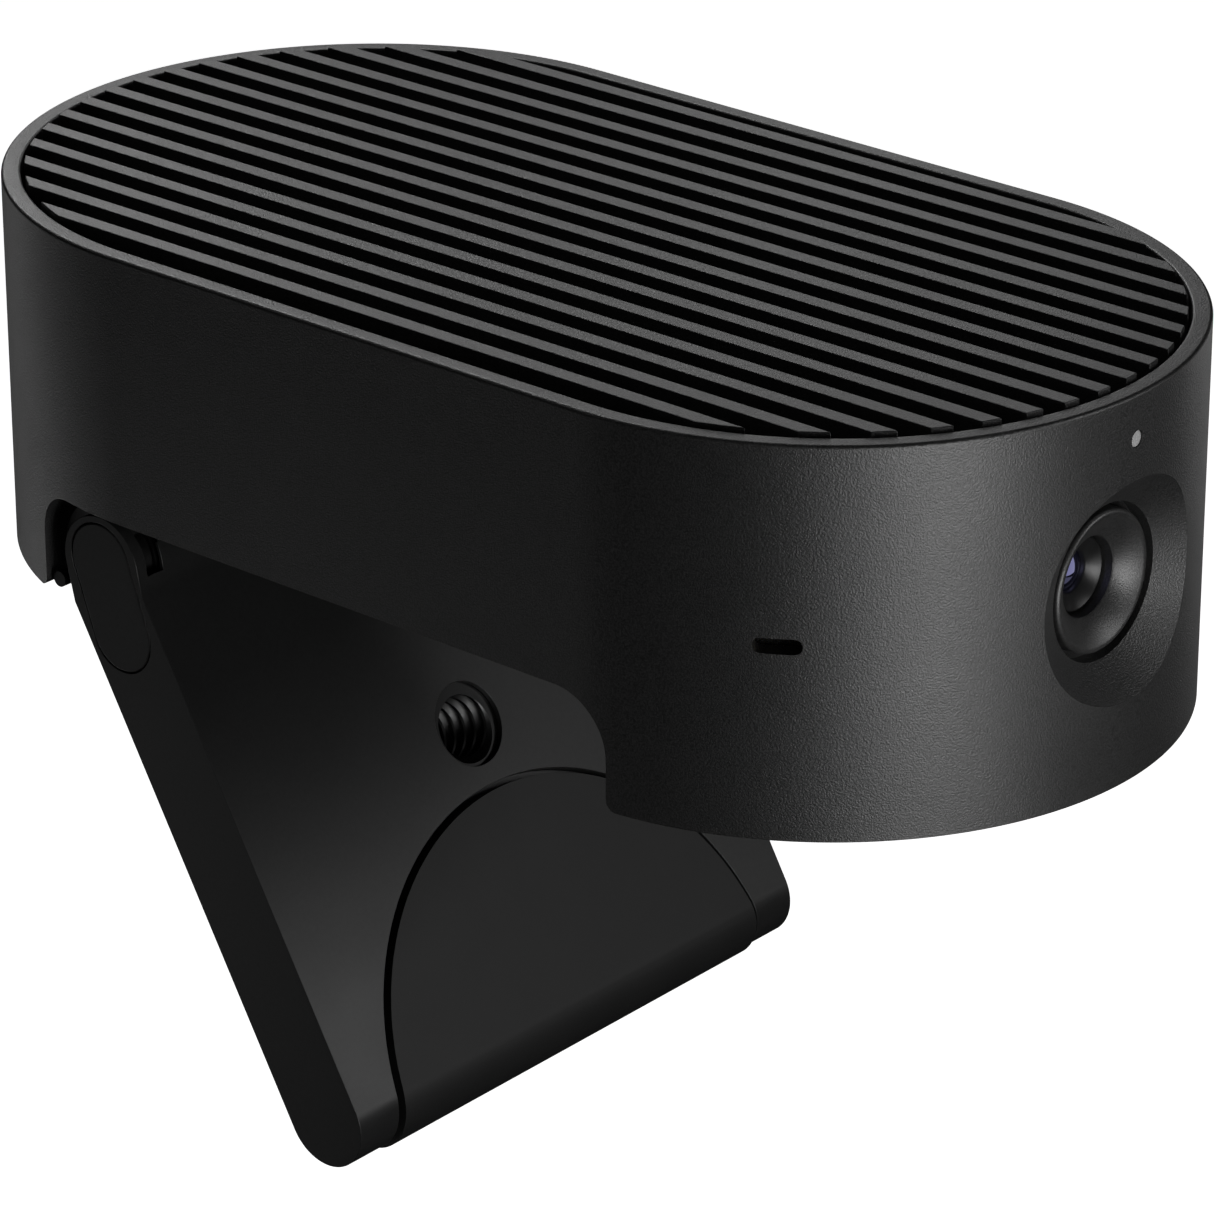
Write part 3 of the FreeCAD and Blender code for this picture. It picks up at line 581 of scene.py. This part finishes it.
shell_metal = blasted_metal("shell_metal", 0.022, 0.42, 0.13 * MM, 0.036 * MM)
fin_metal = blasted_metal("fin_metal", 0.028, 0.42, 0.13 * MM, 0.036 * MM)
ring_metal = blasted_metal("ring_metal", 0.026, 0.4, 0.12 * MM, 0.016 * MM)
barrel_plastic = satin_paint("barrel_plastic", 0.012, 0.32)
arm_paint = satin_paint("arm_paint", 0.019, 0.34)
cap_paint = satin_paint("cap_paint", 0.024, 0.42)
tray_plastic = rubber("tray_plastic", 0.016, 0.55)
grip_rubber = rubber("grip_rubber", 0.014, 0.5)
thread_metal = machined_metal("thread_metal", grey(0.045), 0.36)
hinge_metal = machined_metal("hinge_metal", grey(0.06), 0.4)
screw_metal = machined_metal("screw_metal", grey(0.12), 0.3)
port_metal = machined_metal("port_metal", grey(0.55), 0.28)
contact_gold = machined_metal("contact_gold", (0.9, 0.62, 0.25), 0.2)
front_glass = coated_glass("front_glass", (0.5, 0.5, 1.0), 2.6)
inner_glass = coated_glass("inner_glass", (0.35, 0.5, 0.9), 1.8)
filter_material = coated_glass("filter_material", (0.9, 0.35, 0.3), 1.6)
board_green = circuit_board("board_green")
chip_black = satin_paint("chip_black", 0.02, 0.5)
thermal_grey = rubber("thermal_grey", 0.25, 0.8)
mesh_cloth = rubber("mesh_cloth", 0.02, 0.8)
microphone_metal = machined_metal("microphone_metal", (0.7, 0.62, 0.45), 0.35)
light_diffuser = diffuser("light_diffuser")


# ---- housing ---------------------------------------------------------------------------------
def underside_cut():
    """The step across the underside that hooks over a monitor and takes the folded arm."""
    below = bottom_z - step_depth
    corners = [
        (front_wall_y - front_fillet, below, 0),
        (front_wall_y - front_fillet, bottom_z, 0),
        (front_wall_y, bottom_z, lip_round),
        (front_wall_y, ceiling_z, front_fillet),
        (rear_wall_y, ceiling_z, rear_fillet),
        (rear_wall_y, bottom_z, lip_round),
        (rear_wall_y + rear_fillet, bottom_z, 0),
        (rear_wall_y + rear_fillet, below, 0),
    ]
    return extruded(rounded(corners, 16), -2 * end_radius, 2 * end_radius, along_x)


def lens_dish():
    """Dish from its round floor out to the curved wall, which its sides meet sooner."""
    depth = dish_floor_y + half_length
    side_wall_y = -half_straight - math.sqrt(end_radius ** 2 - dish_edge_radius ** 2)
    rise = dish_edge_radius - dish_floor_radius
    slope_x = rise / (dish_floor_y - side_wall_y)
    slope_z = rise / depth
    reach = depth + outer_edge
    steps = 160
    shape = bmesh.new()
    rings = []
    for out in (0, reach):
        rings.append([
            shape.verts.new((
                (dish_floor_radius + slope_x * out) * math.cos(math.tau * i / steps),
                dish_floor_y - out,
                lens_z + (dish_floor_radius + slope_z * out) * math.sin(math.tau * i / steps),
            ))
            for i in range(steps)
        ])
    shape.faces.new(rings[0])
    shape.faces.new(rings[1])
    for i in range(steps):
        shape.faces.new((rings[0][i - 1], rings[0][i], rings[1][i], rings[1][i - 1]))
    return solid("dish", shape)


def turned_to_microphone(made, side):
    centre = Vector((0, -half_straight, 0))
    turn = Matrix.Rotation(side * microphone_angle, 4, "Z")
    return moved(made, Matrix.Translation(centre) @ turn @ Matrix.Translation(-centre))


def microphone_slot(side):
    outline = [(u, v + lens_z) for u, v in pill(slot_length / 2, slot_height / 2, 16)]
    slot = extruded(outline, -half_length - wall, -half_length + 2 * wall, along_y)
    return turned_to_microphone(slot, side)


def port_outline(grow):
    centre_z = (port_low.z + port_high.z) / 2
    half_width = port_high.x + grow
    half_height = (port_high.z - port_low.z) / 2 + grow
    return [(u, v + centre_z) for u, v in pill(half_width, half_height)]


def housing():
    profile = [(end_radius, bottom_z)]
    profile += arc((end_radius - outer_edge, top_z - outer_edge), outer_edge, 0, math.pi / 2, 5)
    inner_corner = (inner_radius + inner_edge, top_z - inner_edge)
    profile += arc(inner_corner, inner_edge, math.pi / 2, math.pi, 3)
    profile += [
        (inner_radius, sink_bottom),
        (inner_radius - sink_ledge, sink_bottom),
        (inner_radius - sink_ledge, sink_bottom - sink_ledge_thickness),
        (inner_radius, sink_bottom - sink_ledge_thickness),
        (inner_radius, bottom_z),
    ]
    shell = round_the_body(profile)
    lens_axis = (0, lens_z)
    shell = joined(shell, rod(boss_radius, lens_axis, -half_length + wall / 2, boss_y, along_y))
    shell = shared(shell, stadium(end_radius + wall, bottom_z, top_z + wall))
    groove_end = dish_floor_y + ring_face_drop
    return cut(
        shell,
        underside_cut(),
        lens_dish(),
        rod(dish_floor_radius, lens_axis, dish_floor_y - wall / 2, groove_end, along_y, 160),
        rod(ring_radius + fit_gap, lens_axis, dish_floor_y, boss_y + wall, along_y, 160),
        microphone_slot(-1),
        microphone_slot(1),
        rod(light_radius, (0, light_z), -half_length - wall, -half_length + 2 * wall, along_y, 48),
        extruded(port_outline(fit_gap), half_length - 3 * wall, half_length + wall, along_y),
    )


# ---- heat sink -------------------------------------------------------------------------------
def fin(x):
    """One fin, its ends following the rim."""
    left = x - fin_thickness / 2
    right = x + fin_thickness / 2
    steps = 6
    across = [left + (right - left) * i / steps for i in range(steps + 1)]
    rear = [(u, half_straight + math.sqrt(fin_radius ** 2 - u ** 2)) for u in reversed(across)]
    front = [(u, -half_straight - math.sqrt(fin_radius ** 2 - u ** 2)) for u in across]
    return extruded(front + rear, sink_middle, fin_top, along_z)


def screw_places():
    """Where the four base screws and their posts stand."""
    corner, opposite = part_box("base_screws")
    across = (corner.x + screw_head_radius, opposite.x - screw_head_radius)
    along = (corner.y + screw_head_radius, opposite.y - screw_head_radius)
    return [(x, y) for x in across for y in along]


def heat_sink():
    count = 2 * int(fin_radius / fin_pitch)
    fins = [fin((i - (count - 1) / 2) * fin_pitch) for i in range(count)]
    sink = stadium(sink_radius, sink_bottom, sink_top)
    post_low = low("heat_sink").z
    posts = [
        rod(post_radius, place, post_low, sink_middle, along_z, 48)
        for place in screw_places()
    ]
    foot_low, foot_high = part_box("thermal_pad")
    pedestal = block((foot_low.x, foot_low.y, foot_high.z), (foot_high.x, foot_high.y, sink_middle))
    return joined(sink, *fins, *posts, pedestal)


# ---- lens ------------------------------------------------------------------------------------
def lens_ring():
    edge = 0.35 * MM
    lip = 0.12 * MM
    profile = arc((ring_radius - edge, dish_floor_y + edge), edge, 0, -math.pi / 2, 6)
    profile += [
        (ring_radius - 1.6 * edge, dish_floor_y + lip / 2),
        (ring_bore + lip, dish_floor_y + ring_face_drop - lip / 2),
        (ring_bore, dish_floor_y + ring_face_drop + lip),
        (ring_bore, ring_back_y),
        (ring_radius, ring_back_y),
    ]
    return turned(profile, (0, lens_z))


def lens_barrel():
    edge = 0.2 * MM
    mouth_y = barrel_front_y + barrel_face_drop
    seat_y = mouth_y + lens_seat_depth
    profile = arc((barrel_radius - edge, barrel_front_y + edge), edge, 0, -math.pi / 2, 5)
    profile += [
        (lens_radius + 2 * mouth_bevel, mouth_y - mouth_bevel),
        (lens_radius + lens_gap, mouth_y + mouth_bevel),
        (lens_radius + lens_gap, seat_y),
        (element_bore, seat_y),
        (element_bore, barrel_back_y),
        (barrel_radius, barrel_back_y),
    ]
    return turned(profile, (0, lens_z), 96)


def domed_glass(node, dome):
    """Lens element the size of its CAD node, its front face part of a sphere."""
    corner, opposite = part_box(node)
    radius = opposite.x
    ball = (radius ** 2 + dome ** 2) / (2 * dome)
    reach = math.asin(radius / ball)
    centre_y = corner.y + ball
    angles = [reach * i / 16 for i in range(17)]
    profile = [(ball * math.sin(a), centre_y - ball * math.cos(a)) for a in angles]
    profile += [(radius, opposite.y), (0, opposite.y)]
    return turned(profile, (0, lens_z), 96)


def status_light():
    front = low("status_light").y
    back = high("status_light").y
    radius = high("status_light").x
    dome = 0.12 * MM
    angles = [math.pi / 16 * i for i in range(9)]
    face = [(radius * math.sin(a), front + dome * (1 - math.cos(a))) for a in angles]
    return turned(face + [(radius, back), (0, back)], (0, light_z), 48)


# ---- arm -------------------------------------------------------------------------------------
def opened(made):
    """Turn a piece of the arm from folded flat to the angle it stands at."""
    centre = Vector((0, hinge_y, hinge_z))
    turn = Matrix.Rotation(arm_angle, 4, "X")
    return moved(made, Matrix.Translation(centre) @ turn @ Matrix.Translation(-centre))


def arm_place(along, height):
    return (hinge_y - along, hinge_z + height)


def knuckle_touch(along, height, side):
    """Angle at which the line from a point on a flat face touches the knuckle."""
    return math.atan2(height, along) + side * math.acos(knuckle_radius / math.hypot(along, height))


def tip_band(inset, proud):
    """Side outline of a layer over the inner face and round the tip."""
    start = tip_reach - 1.5 * pad_radius
    points = []
    for offset, order in ((inset, 1), (proud, -1)):
        run = [(start, arm_inner + offset)]
        run += arc((tip_centre, arm_middle), arm_half_thickness + offset, math.pi / 2, -math.pi / 2, 40)
        points += run[::order]
    return [arm_place(*point) for point in points]


def over_tip(radius, inset, proud):
    """Layer round the tip, inside a circle about the middle of the tip's edge."""
    centre = arm_place(tip_reach, 0)
    reach = 2 * arm_half_thickness
    disc = rod(radius, (0, centre[0]), centre[1] - 2 * reach, centre[1] + 2 * reach, along_z, 256)
    band = extruded(tip_band(inset, proud), -radius - MM, radius + MM, along_x)
    return shared(band, disc)


def cap_shape(grow):
    length = math.hypot(cap_length, cap_shift)
    tilt = math.atan2(cap_shift, cap_length)
    radius = cap_radius + grow
    points = []
    half = (length + cap_setback) / 2
    for u, v in pill(half + radius, radius, 32):
        along = u + half - cap_setback
        points.append((
            along * math.cos(tilt) - v * math.sin(tilt),
            -along * math.sin(tilt) - v * math.cos(tilt),
        ))
    return [arm_place(*point) for point in points]


def leaf_slot(axis):
    """Room for a hinge leaf. A skin of the arm's inner face stays in front of it."""
    room = rod(leaf_radius + swing_gap, axis, leaf_inner_x - leaf_gap, cheek_x, along_x)
    ahead = hinge_y - leaf_neck - slot_front_gap
    skin = block(
        (arm_slot_x - MM, ahead - tip_reach, hinge_z),
        (cheek_x + MM, ahead, hinge_z + tip_reach),
    )
    return joined(cut(room, skin), rod(slot_eye_radius, axis, arm_slot_x, cheek_x, along_x))


def mount_arm():
    inner = knuckle_touch(arm_inner_start, arm_inner, 1)
    outer = knuckle_touch(arm_outer_start, arm_outer, -1)
    outline = arc((0, 0), knuckle_radius, outer + math.tau, inner, 64)
    outline += [(arm_inner_start, arm_inner)]
    outline += arc((tip_centre, arm_middle), arm_half_thickness, math.pi / 2, -math.pi / 2, 64)
    outline += [(arm_outer_start, arm_outer)]
    outline = [arm_place(*point) for point in outline]
    arm = extruded(outline, -arm_half_width, arm_half_width, along_x)
    tools = [over_tip(pad_radius + pad_groove, -pad_sunk, 2 * pad_proud)]
    axis = (hinge_y, hinge_z)
    for flip in (False, True):
        swing = block(
            (arm_slot_x, hinge_y, hinge_z - leaf_radius),
            (cheek_x, hinge_y + 2 * leaf_radius, hinge_z + leaf_radius),
        )
        pair = [
            joined(leaf_slot(axis), swing),
            extruded(cap_shape(fit_gap), arm_half_width - cap_depth, arm_half_width + MM, along_x),
        ]
        tools += [mirrored(tool) for tool in pair] if flip else pair
    thread_y, low_z = arm_place(thread_along, arm_outer)
    high_z = hinge_z + arm_inner
    tools.append(rod(thread_mouth, (0, thread_y), low_z - MM, high_z + MM, along_z))
    arm = cut(arm, *tools)
    seat_low, seat_high = low_z + insert_setback, high_z - insert_setback
    seat = rod(insert_radius, (0, thread_y), seat_low, seat_high, along_z)
    return opened(cut(arm, seat))


def grip_pad():
    return opened(over_tip(pad_radius, -pad_sunk + fit_gap, pad_proud))


def thread_cutter(low_z, high_z, centre_y):
    """Male screw whose ridges cut the insert's thread. Its section runs round a helix."""
    steps = 72
    turns = math.ceil((high_z - low_z) / thread_pitch) + 2
    flat = 0.12
    section = [
        (0, thread_minor), (flat, thread_minor), (0.5 - flat / 2, thread_major),
        (0.5 + flat / 2, thread_major), (1 - flat, thread_minor),
    ]
    shape = bmesh.new()
    rows = []
    for i in range(steps * turns + 1):
        angle = math.tau * i / steps
        base = low_z - thread_pitch + thread_pitch * i / steps
        rows.append([
            shape.verts.new((
                radius * math.cos(angle),
                centre_y + radius * math.sin(angle),
                base + part * thread_pitch,
            ))
            for part, radius in section
        ])
    last = steps * (turns - 1) + 1
    top_edge = []
    for i in range(last, steps * turns + 1):
        angle = math.tau * i / steps
        base = low_z + thread_pitch * i / steps
        top_edge.append(shape.verts.new((
            thread_minor * math.cos(angle), centre_y + thread_minor * math.sin(angle), base,
        )))
    starts = [row[0] for row in rows] + top_edge
    for i in range(steps * turns):
        for j in range(len(section) - 1):
            shape.faces.new((rows[i][j], rows[i][j + 1], rows[i + 1][j + 1], rows[i + 1][j]))
        above = i + steps
        shape.faces.new((rows[i][-1], starts[above], starts[above + 1], rows[i + 1][-1]))
    bottom = shape.verts.new((0, centre_y, low_z - 2 * thread_pitch))
    top = shape.verts.new((0, centre_y, high_z + 4 * thread_pitch))
    shape.edges.ensure_lookup_table()
    open_edges = [edge for edge in shape.edges if edge.is_boundary]
    for edge in open_edges:
        start_half = edge.verts[0].co.z < (low_z + high_z) / 2
        shape.faces.new((edge.verts[0], edge.verts[1], bottom if start_half else top))
    return solid("thread", shape)


def thread_insert():
    centre_y, low_z = arm_place(thread_along, arm_outer)
    low_z += insert_setback + fit_gap
    high_z = hinge_z + arm_inner - insert_setback - fit_gap
    insert = rod(insert_radius - fit_gap, (0, centre_y), low_z, high_z, along_z)
    return opened(cut(insert, thread_cutter(low_z, high_z, centre_y)))


def hinge_cap():
    seat_x = arm_half_width - cap_depth + fit_gap
    return opened(extruded(cap_shape(-fit_gap), seat_x, arm_half_width, along_x))


# ---- hinge -----------------------------------------------------------------------------------
def hinge_leaf():
    """Disc with an eye, a stop nub on its root, and a flange screwed up under the tray."""
    nub = (hinge_y + nub_reach * math.cos(nub_angle), hinge_z + nub_reach * math.sin(nub_angle))
    across = Vector((math.sin(nub_angle), -math.cos(nub_angle))) * nub_radius
    root = [
        (hinge_y + across.x, hinge_z + across.y), (nub[0] + across.x, nub[1] + across.y),
        (nub[0] - across.x, nub[1] - across.y), (hinge_y - across.x, hinge_z - across.y),
    ]
    axis = (hinge_y, hinge_z)
    top = high("hinge_leaf_right").z
    flange_x = low("hinge_leaf_right").x
    neck_front, neck_back = hinge_y - leaf_neck, hinge_y + leaf_neck
    behind = hinge_y + 2 * leaf_radius
    upper = block((0, neck_front, hinge_z), (end_radius, behind, hinge_z + 2 * leaf_radius))
    rear = block((0, hinge_y, hinge_z - leaf_below), (end_radius, behind, hinge_z + leaf_radius))
    disc = rod(leaf_radius, axis, leaf_inner_x, leaf_outer_x, along_x)
    leaf = joined(
        shared(disc, joined(upper, rear)),
        rod(leaf_eye_radius, axis, leaf_inner_x, leaf_outer_x, along_x),
        rod(nub_radius, nub, leaf_inner_x, nub_outer_x, along_x, 32),
        extruded(root, leaf_inner_x, leaf_outer_x, along_x),
        block((leaf_inner_x, neck_front, hinge_z), (leaf_outer_x, neck_back, top)),
        block(
            (flange_x, neck_back - flange_length, top - flange_thickness),
            (leaf_outer_x, neck_back, top),
        ),
    )
    hole_radius = pin_radius + pin_gap
    return cut(leaf, rod(hole_radius, axis, leaf_inner_x - MM, leaf_outer_x + MM, along_x, 48))


# ---- underside -------------------------------------------------------------------------------
def rest_pad():
    corner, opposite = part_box("rest_pad")
    radius = front_fillet / 2
    corners = [
        (corner.x, corner.y, radius), (opposite.x, corner.y, radius),
        (opposite.x, opposite.y, radius), (corner.x, opposite.y, radius),
    ]
    return extruded(rounded(corners, 16), corner.z, opposite.z, along_z)


def base_screws():
    """Four screws with six-sided sockets, heads down."""
    corner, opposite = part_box("base_screws")
    head_top = corner.z + screw_head_height
    shank_low = corner.z + screw_head_height / 2
    screws = []
    for place in screw_places():
        head = rod(screw_head_radius, place, corner.z, head_top, along_z, 64)
        socket = rod(socket_radius, place, corner.z - MM, corner.z + socket_depth, along_z, 6)
        shank = rod(shank_radius, place, shank_low, opposite.z, along_z, 48)
        screws.append(joined(cut(head, socket), shank))
    return gathered(screws)


# ---- data port -------------------------------------------------------------------------------
def port_shell():
    """Drawn shell of the receptacle, closed at its back."""
    shell = extruded(port_outline(0), port_low.y, port_high.y, along_y)
    back_y = port_low.y + port_wall
    return cut(shell, extruded(port_outline(-port_wall), back_y, port_high.y + MM, along_y))


def port_tongue():
    half = tongue_thickness / 2
    centre_z = (port_low.z + port_high.z) / 2
    outline = [(-tongue_half, centre_z - half), (tongue_half, centre_z - half)]
    outline += [(tongue_half, centre_z + half), (-tongue_half, centre_z + half)]
    return extruded(outline, port_low.y + port_wall / 2, port_high.y - tongue_setback, along_y)


def port_contacts():
    """Row of contacts on each face of the tongue."""
    centre_z = (port_low.z + port_high.z) / 2
    front = port_low.y + port_wall
    rear = port_high.y - tongue_setback - contact_setback
    contacts = []
    for side in (-1, 1):
        z = centre_z + side * tongue_thickness / 2
        for i in range(contact_count):
            x = (i - (contact_count - 1) / 2) * contact_pitch
            contacts.append(block(
                (x - contact_half, front, z - contact_half / 2),
                (x + contact_half, rear, z + contact_half / 2),
            ))
    return gathered(contacts)


# ---- microphone mesh -------------------------------------------------------------------------
def wavy_wire(start, end, lift, place):
    """Woven wire along one way, passing over and under the ones across it."""
    sides = 6
    steps = 4 * round((end - start) / wire_pitch)
    shape = bmesh.new()
    rows = []
    for i in range(steps + 1):
        along = start + (end - start) * i / steps
        wave = lift * math.sin(math.pi * along / wire_pitch)
        rows.append([
            shape.verts.new(place(along, wire_radius * math.cos(a), wave + wire_radius * math.sin(a)))
            for a in [math.tau * k / sides for k in range(sides)]
        ])
    for one, other in zip(rows, rows[1:]):
        for k in range(sides):
            shape.faces.new((one[k - 1], one[k], other[k], other[k - 1]))
    shape.faces.new(rows[0])
    shape.faces.new(rows[-1])
    return solid("wire", shape)


def microphone_mesh(side):
    """Plain weave of fine wires behind a microphone slot."""
    centre_y = -half_length + wall + mesh_setback
    columns = int(mesh_half_width / wire_pitch)
    rows = int(mesh_half_height / wire_pitch)
    wires = []
    for i in range(-columns, columns + 1):
        x = i * wire_pitch
        lift = wire_radius * (1 if i % 2 else -1)
        wires.append(wavy_wire(
            -mesh_half_height, mesh_half_height, lift,
            lambda along, side, out: Vector((x + side, centre_y + out, lens_z + along)),
        ))
    for i in range(-rows, rows + 1):
        z = lens_z + i * wire_pitch
        lift = wire_radius * (-1 if i % 2 else 1)
        wires.append(wavy_wire(
            -mesh_half_width, mesh_half_width, lift,
            lambda along, side, out: Vector((along, centre_y + out, z + side)),
        ))
    return turned_to_microphone(gathered(wires), side)


# ---- pieces put together ---------------------------------------------------------------------
def build_pieces():
    camera_body, arm_body = "camera_body", "arm_body"
    piece("housing_shell", housing(), camera_body, shell_metal, ["housing"], fine_bevel, 2)
    piece("finned_heat_sink", heat_sink(), camera_body, fin_metal, ["heat_sink"], fin_bevel)
    piece("lens_trim_ring", lens_ring(), camera_body, ring_metal, ["lens_ring"])
    piece("lens_tube", lens_barrel(), camera_body, barrel_plastic, ["lens_barrel"])
    for name, node, dome, glass in (
        ("front_element", "front_lens", 0.55, front_glass),
        ("middle_element", "middle_lens", 0.4, inner_glass),
        ("rear_element", "rear_lens", 0.3, inner_glass),
    ):
        piece(name, domed_glass(node, dome * MM), camera_body, glass, [node])
    piece("light_window", status_light(), camera_body, light_diffuser, ["status_light"])
    piece("rubber_rest", rest_pad(), camera_body, grip_rubber, ["rest_pad"], rest_bevel)
    screws = base_screws()
    piece("tray_screws", screws, camera_body, screw_metal, ["base_screws"], fine_bevel)
    piece("port_shell", port_shell(), camera_body, port_metal, ["data_port"], port_bevel)
    piece("port_tongue", port_tongue(), camera_body, chip_black, (), tongue_bevel)
    piece("port_contacts", port_contacts(), camera_body, contact_gold)
    for name, side in (("left", -1), ("right", 1)):
        mesh = microphone_mesh(side)
        node = "microphone_mesh_" + name
        piece("woven_mesh_" + name, mesh, camera_body, mesh_cloth, [node])
    piece("arm_plate", mount_arm(), arm_body, arm_paint, ["mount_arm"], arm_bevel)
    piece("rubber_grip", grip_pad(), arm_body, grip_rubber, ["grip_pad"], grip_bevel)
    piece("tripod_thread", thread_insert(), arm_body, thread_metal, ["thread_insert"])
    for side, flip in (("right", False), ("left", True)):
        cap = mirrored(hinge_cap()) if flip else hinge_cap()
        node = "hinge_cap_" + side
        piece("hinge_cover_" + side, cap, arm_body, cap_paint, [node], fine_bevel)
        leaf = mirrored(hinge_leaf()) if flip else hinge_leaf()
        node = "hinge_leaf_" + side
        name = "hinge_plate_" + side
        piece(name, leaf, camera_body, hinge_metal, [node], fine_bevel)


def dress_frame():
    """Materials for the CAD nodes that stay."""
    finishes = {
        "tray": tray_plastic, "barrel": barrel_plastic, "filter_glass": filter_material,
        "mesh": mesh_cloth, "microphone": microphone_metal, "board": board_green,
        "chip": chip_black, "thermal": thermal_grey, "hinge_steel": hinge_metal,
        "port": port_metal, "screws": screw_metal,
    }
    for part in frame["record"]["subparts"]:
        if part["material_slot"] in finishes:
            for slot in frame["nodes"][part["node"]].material_slots:
                slot.material = finishes[part["material_slot"]]


# ---- stage -----------------------------------------------------------------------------------
view_azimuth = -49.7045
view_elevation = 23.6872
view_roll = math.radians(0.1366)
view_target = Vector((0.2957 * end_radius, 0.0398 * end_radius, bottom_z))
view_distance = 16.3794 * end_radius
focal_length = 173.87
view_shift = (-0.0337, -0.0405)
floor_reach = 12.0
floor_z = -0.2
ambient_light = 0.002


def bearing(azimuth, elevation):
    """Direction from the object: 0 degrees is straight ahead of the lens, then towards +X."""
    turn, tilt = math.radians(azimuth), math.radians(elevation)
    return (math.sin(turn) * math.cos(tilt), -math.cos(turn) * math.cos(tilt), math.sin(tilt))


def camera():
    """A long lens, above and to the left of the front."""
    back = Vector(bearing(view_azimuth, view_elevation))
    right = Vector((0, 0, 1)).cross(back).normalized()
    up = back.cross(right)
    right, up = (
        right * math.cos(view_roll) + up * math.sin(view_roll),
        up * math.cos(view_roll) - right * math.sin(view_roll),
    )
    data = bpy.data.cameras.new("camera")
    data.sensor_width = 36
    data.lens = focal_length
    data.shift_x, data.shift_y = view_shift
    data.clip_start = 0.01
    data.clip_end = 20
    camera_object = bpy.data.objects.new("camera", data)
    bpy.context.scene.collection.objects.link(camera_object)
    matrix = Matrix((right, up, back)).transposed().to_4x4()
    matrix.translation = view_target + back * view_distance
    camera_object.matrix_world = matrix
    bpy.context.scene.camera = camera_object


def floor():
    """Pale floor that the camera sees, well below the arm's tip. It casts no light on the object."""
    mesh = bpy.data.meshes.new("floor")
    signs = ((-1, -1), (1, -1), (1, 1), (-1, 1))
    corners = [(x * floor_reach, y * floor_reach, floor_z) for x, y in signs]
    mesh.from_pydata(corners, [], [(0, 1, 2, 3)])
    made = bpy.data.objects.new("floor", mesh)
    bpy.context.scene.collection.objects.link(made)
    pale, shader = base_material("pale_floor", grey(0.95), 0.9)
    shader.inputs["Emission Color"].default_value = (1, 1, 1, 1)
    shader.inputs["Emission Strength"].default_value = 1.0
    mesh.materials.append(pale)
    made.visible_diffuse = False
    made.visible_glossy = False
    made.visible_transmission = False
    made.visible_shadow = False


def softbox(name, direction, distance, size, watts):
    """Rectangular soft light that looks at the object from a direction."""
    data = bpy.data.lights.new(name, "AREA")
    data.shape = "RECTANGLE"
    data.size, data.size_y = size
    data.energy = watts
    made = bpy.data.objects.new(name, data)
    made.location = Vector(direction).normalized() * distance
    made.rotation_euler = Vector(direction).to_track_quat("Z", "Y").to_euler()
    bpy.context.scene.collection.objects.link(made)
    return made


def lamp(name, azimuth, elevation, distance, watts):
    """Square softbox a third as wide as it is far away."""
    softbox(name, bearing(azimuth, elevation), distance, (distance / 3, distance / 3), watts)


def lens_window():
    """Large softboxes that only the front glass gives back."""
    glass_only = bpy.data.collections.new("glass_only")
    glass_only.objects.link(bpy.data.objects["front_element"])
    high_window = softbox("lens_window_high", bearing(25, -2), 0.5, (0.55, 0.42), 1.1)
    low_window = softbox("lens_window_low", bearing(39, -46), 0.5, (0.5, 0.3), 0.2)
    for window in (high_window, low_window):
        window.light_linking.receiver_collection = glass_only


def lights():
    """Each lamp's bearing in degrees, then its distance and power."""
    lamp("front_key", -15, -5, 0.35, 0.254)
    lamp("front_key_low", -15, -22, 0.35, 0.028)
    lamp("left_front_fill", -30, -10, 0.22, 0.048)
    lamp("front_fill", 0, -10, 0.22, 0.012)
    lamp("right_front", 30, 12, 0.5, 0.288)
    lamp("right_low", 90, -12, 0.5, 0.074)
    lamp("right_back", 120, 12, 0.5, 0.015)
    lamp("right_back_near", 120, 25, 0.22, 0.018)
    lamp("right_top", 120, 60, 0.5, 0.037)
    lamp("back_key", 150, 35, 0.5, 0.477)
    lamp("back_low", 180, -35, 0.5, 0.145)
    lamp("back_near", 180, -10, 0.22, 0.007)
    lamp("left_back_low", 210, -35, 0.5, 0.033)
    lamp("left_back_near", 215, -25, 0.35, 0.005)
    lamp("fin_edges", 214, 44, 0.5, 0.04)
    lamp("arm_edges", -50, 24, 0.5, 0.015)


def world():
    made = bpy.data.worlds.new("world")
    bpy.context.scene.world = made
    made.use_nodes = True
    made.node_tree.nodes["Background"].inputs["Color"].default_value = (1, 1, 1, 1)
    made.node_tree.nodes["Background"].inputs["Strength"].default_value = ambient_light


bpy.context.scene.view_settings.view_transform = "Standard"
camera()
floor()
lights()
world()
build_pieces()
lens_window()
dress_frame()
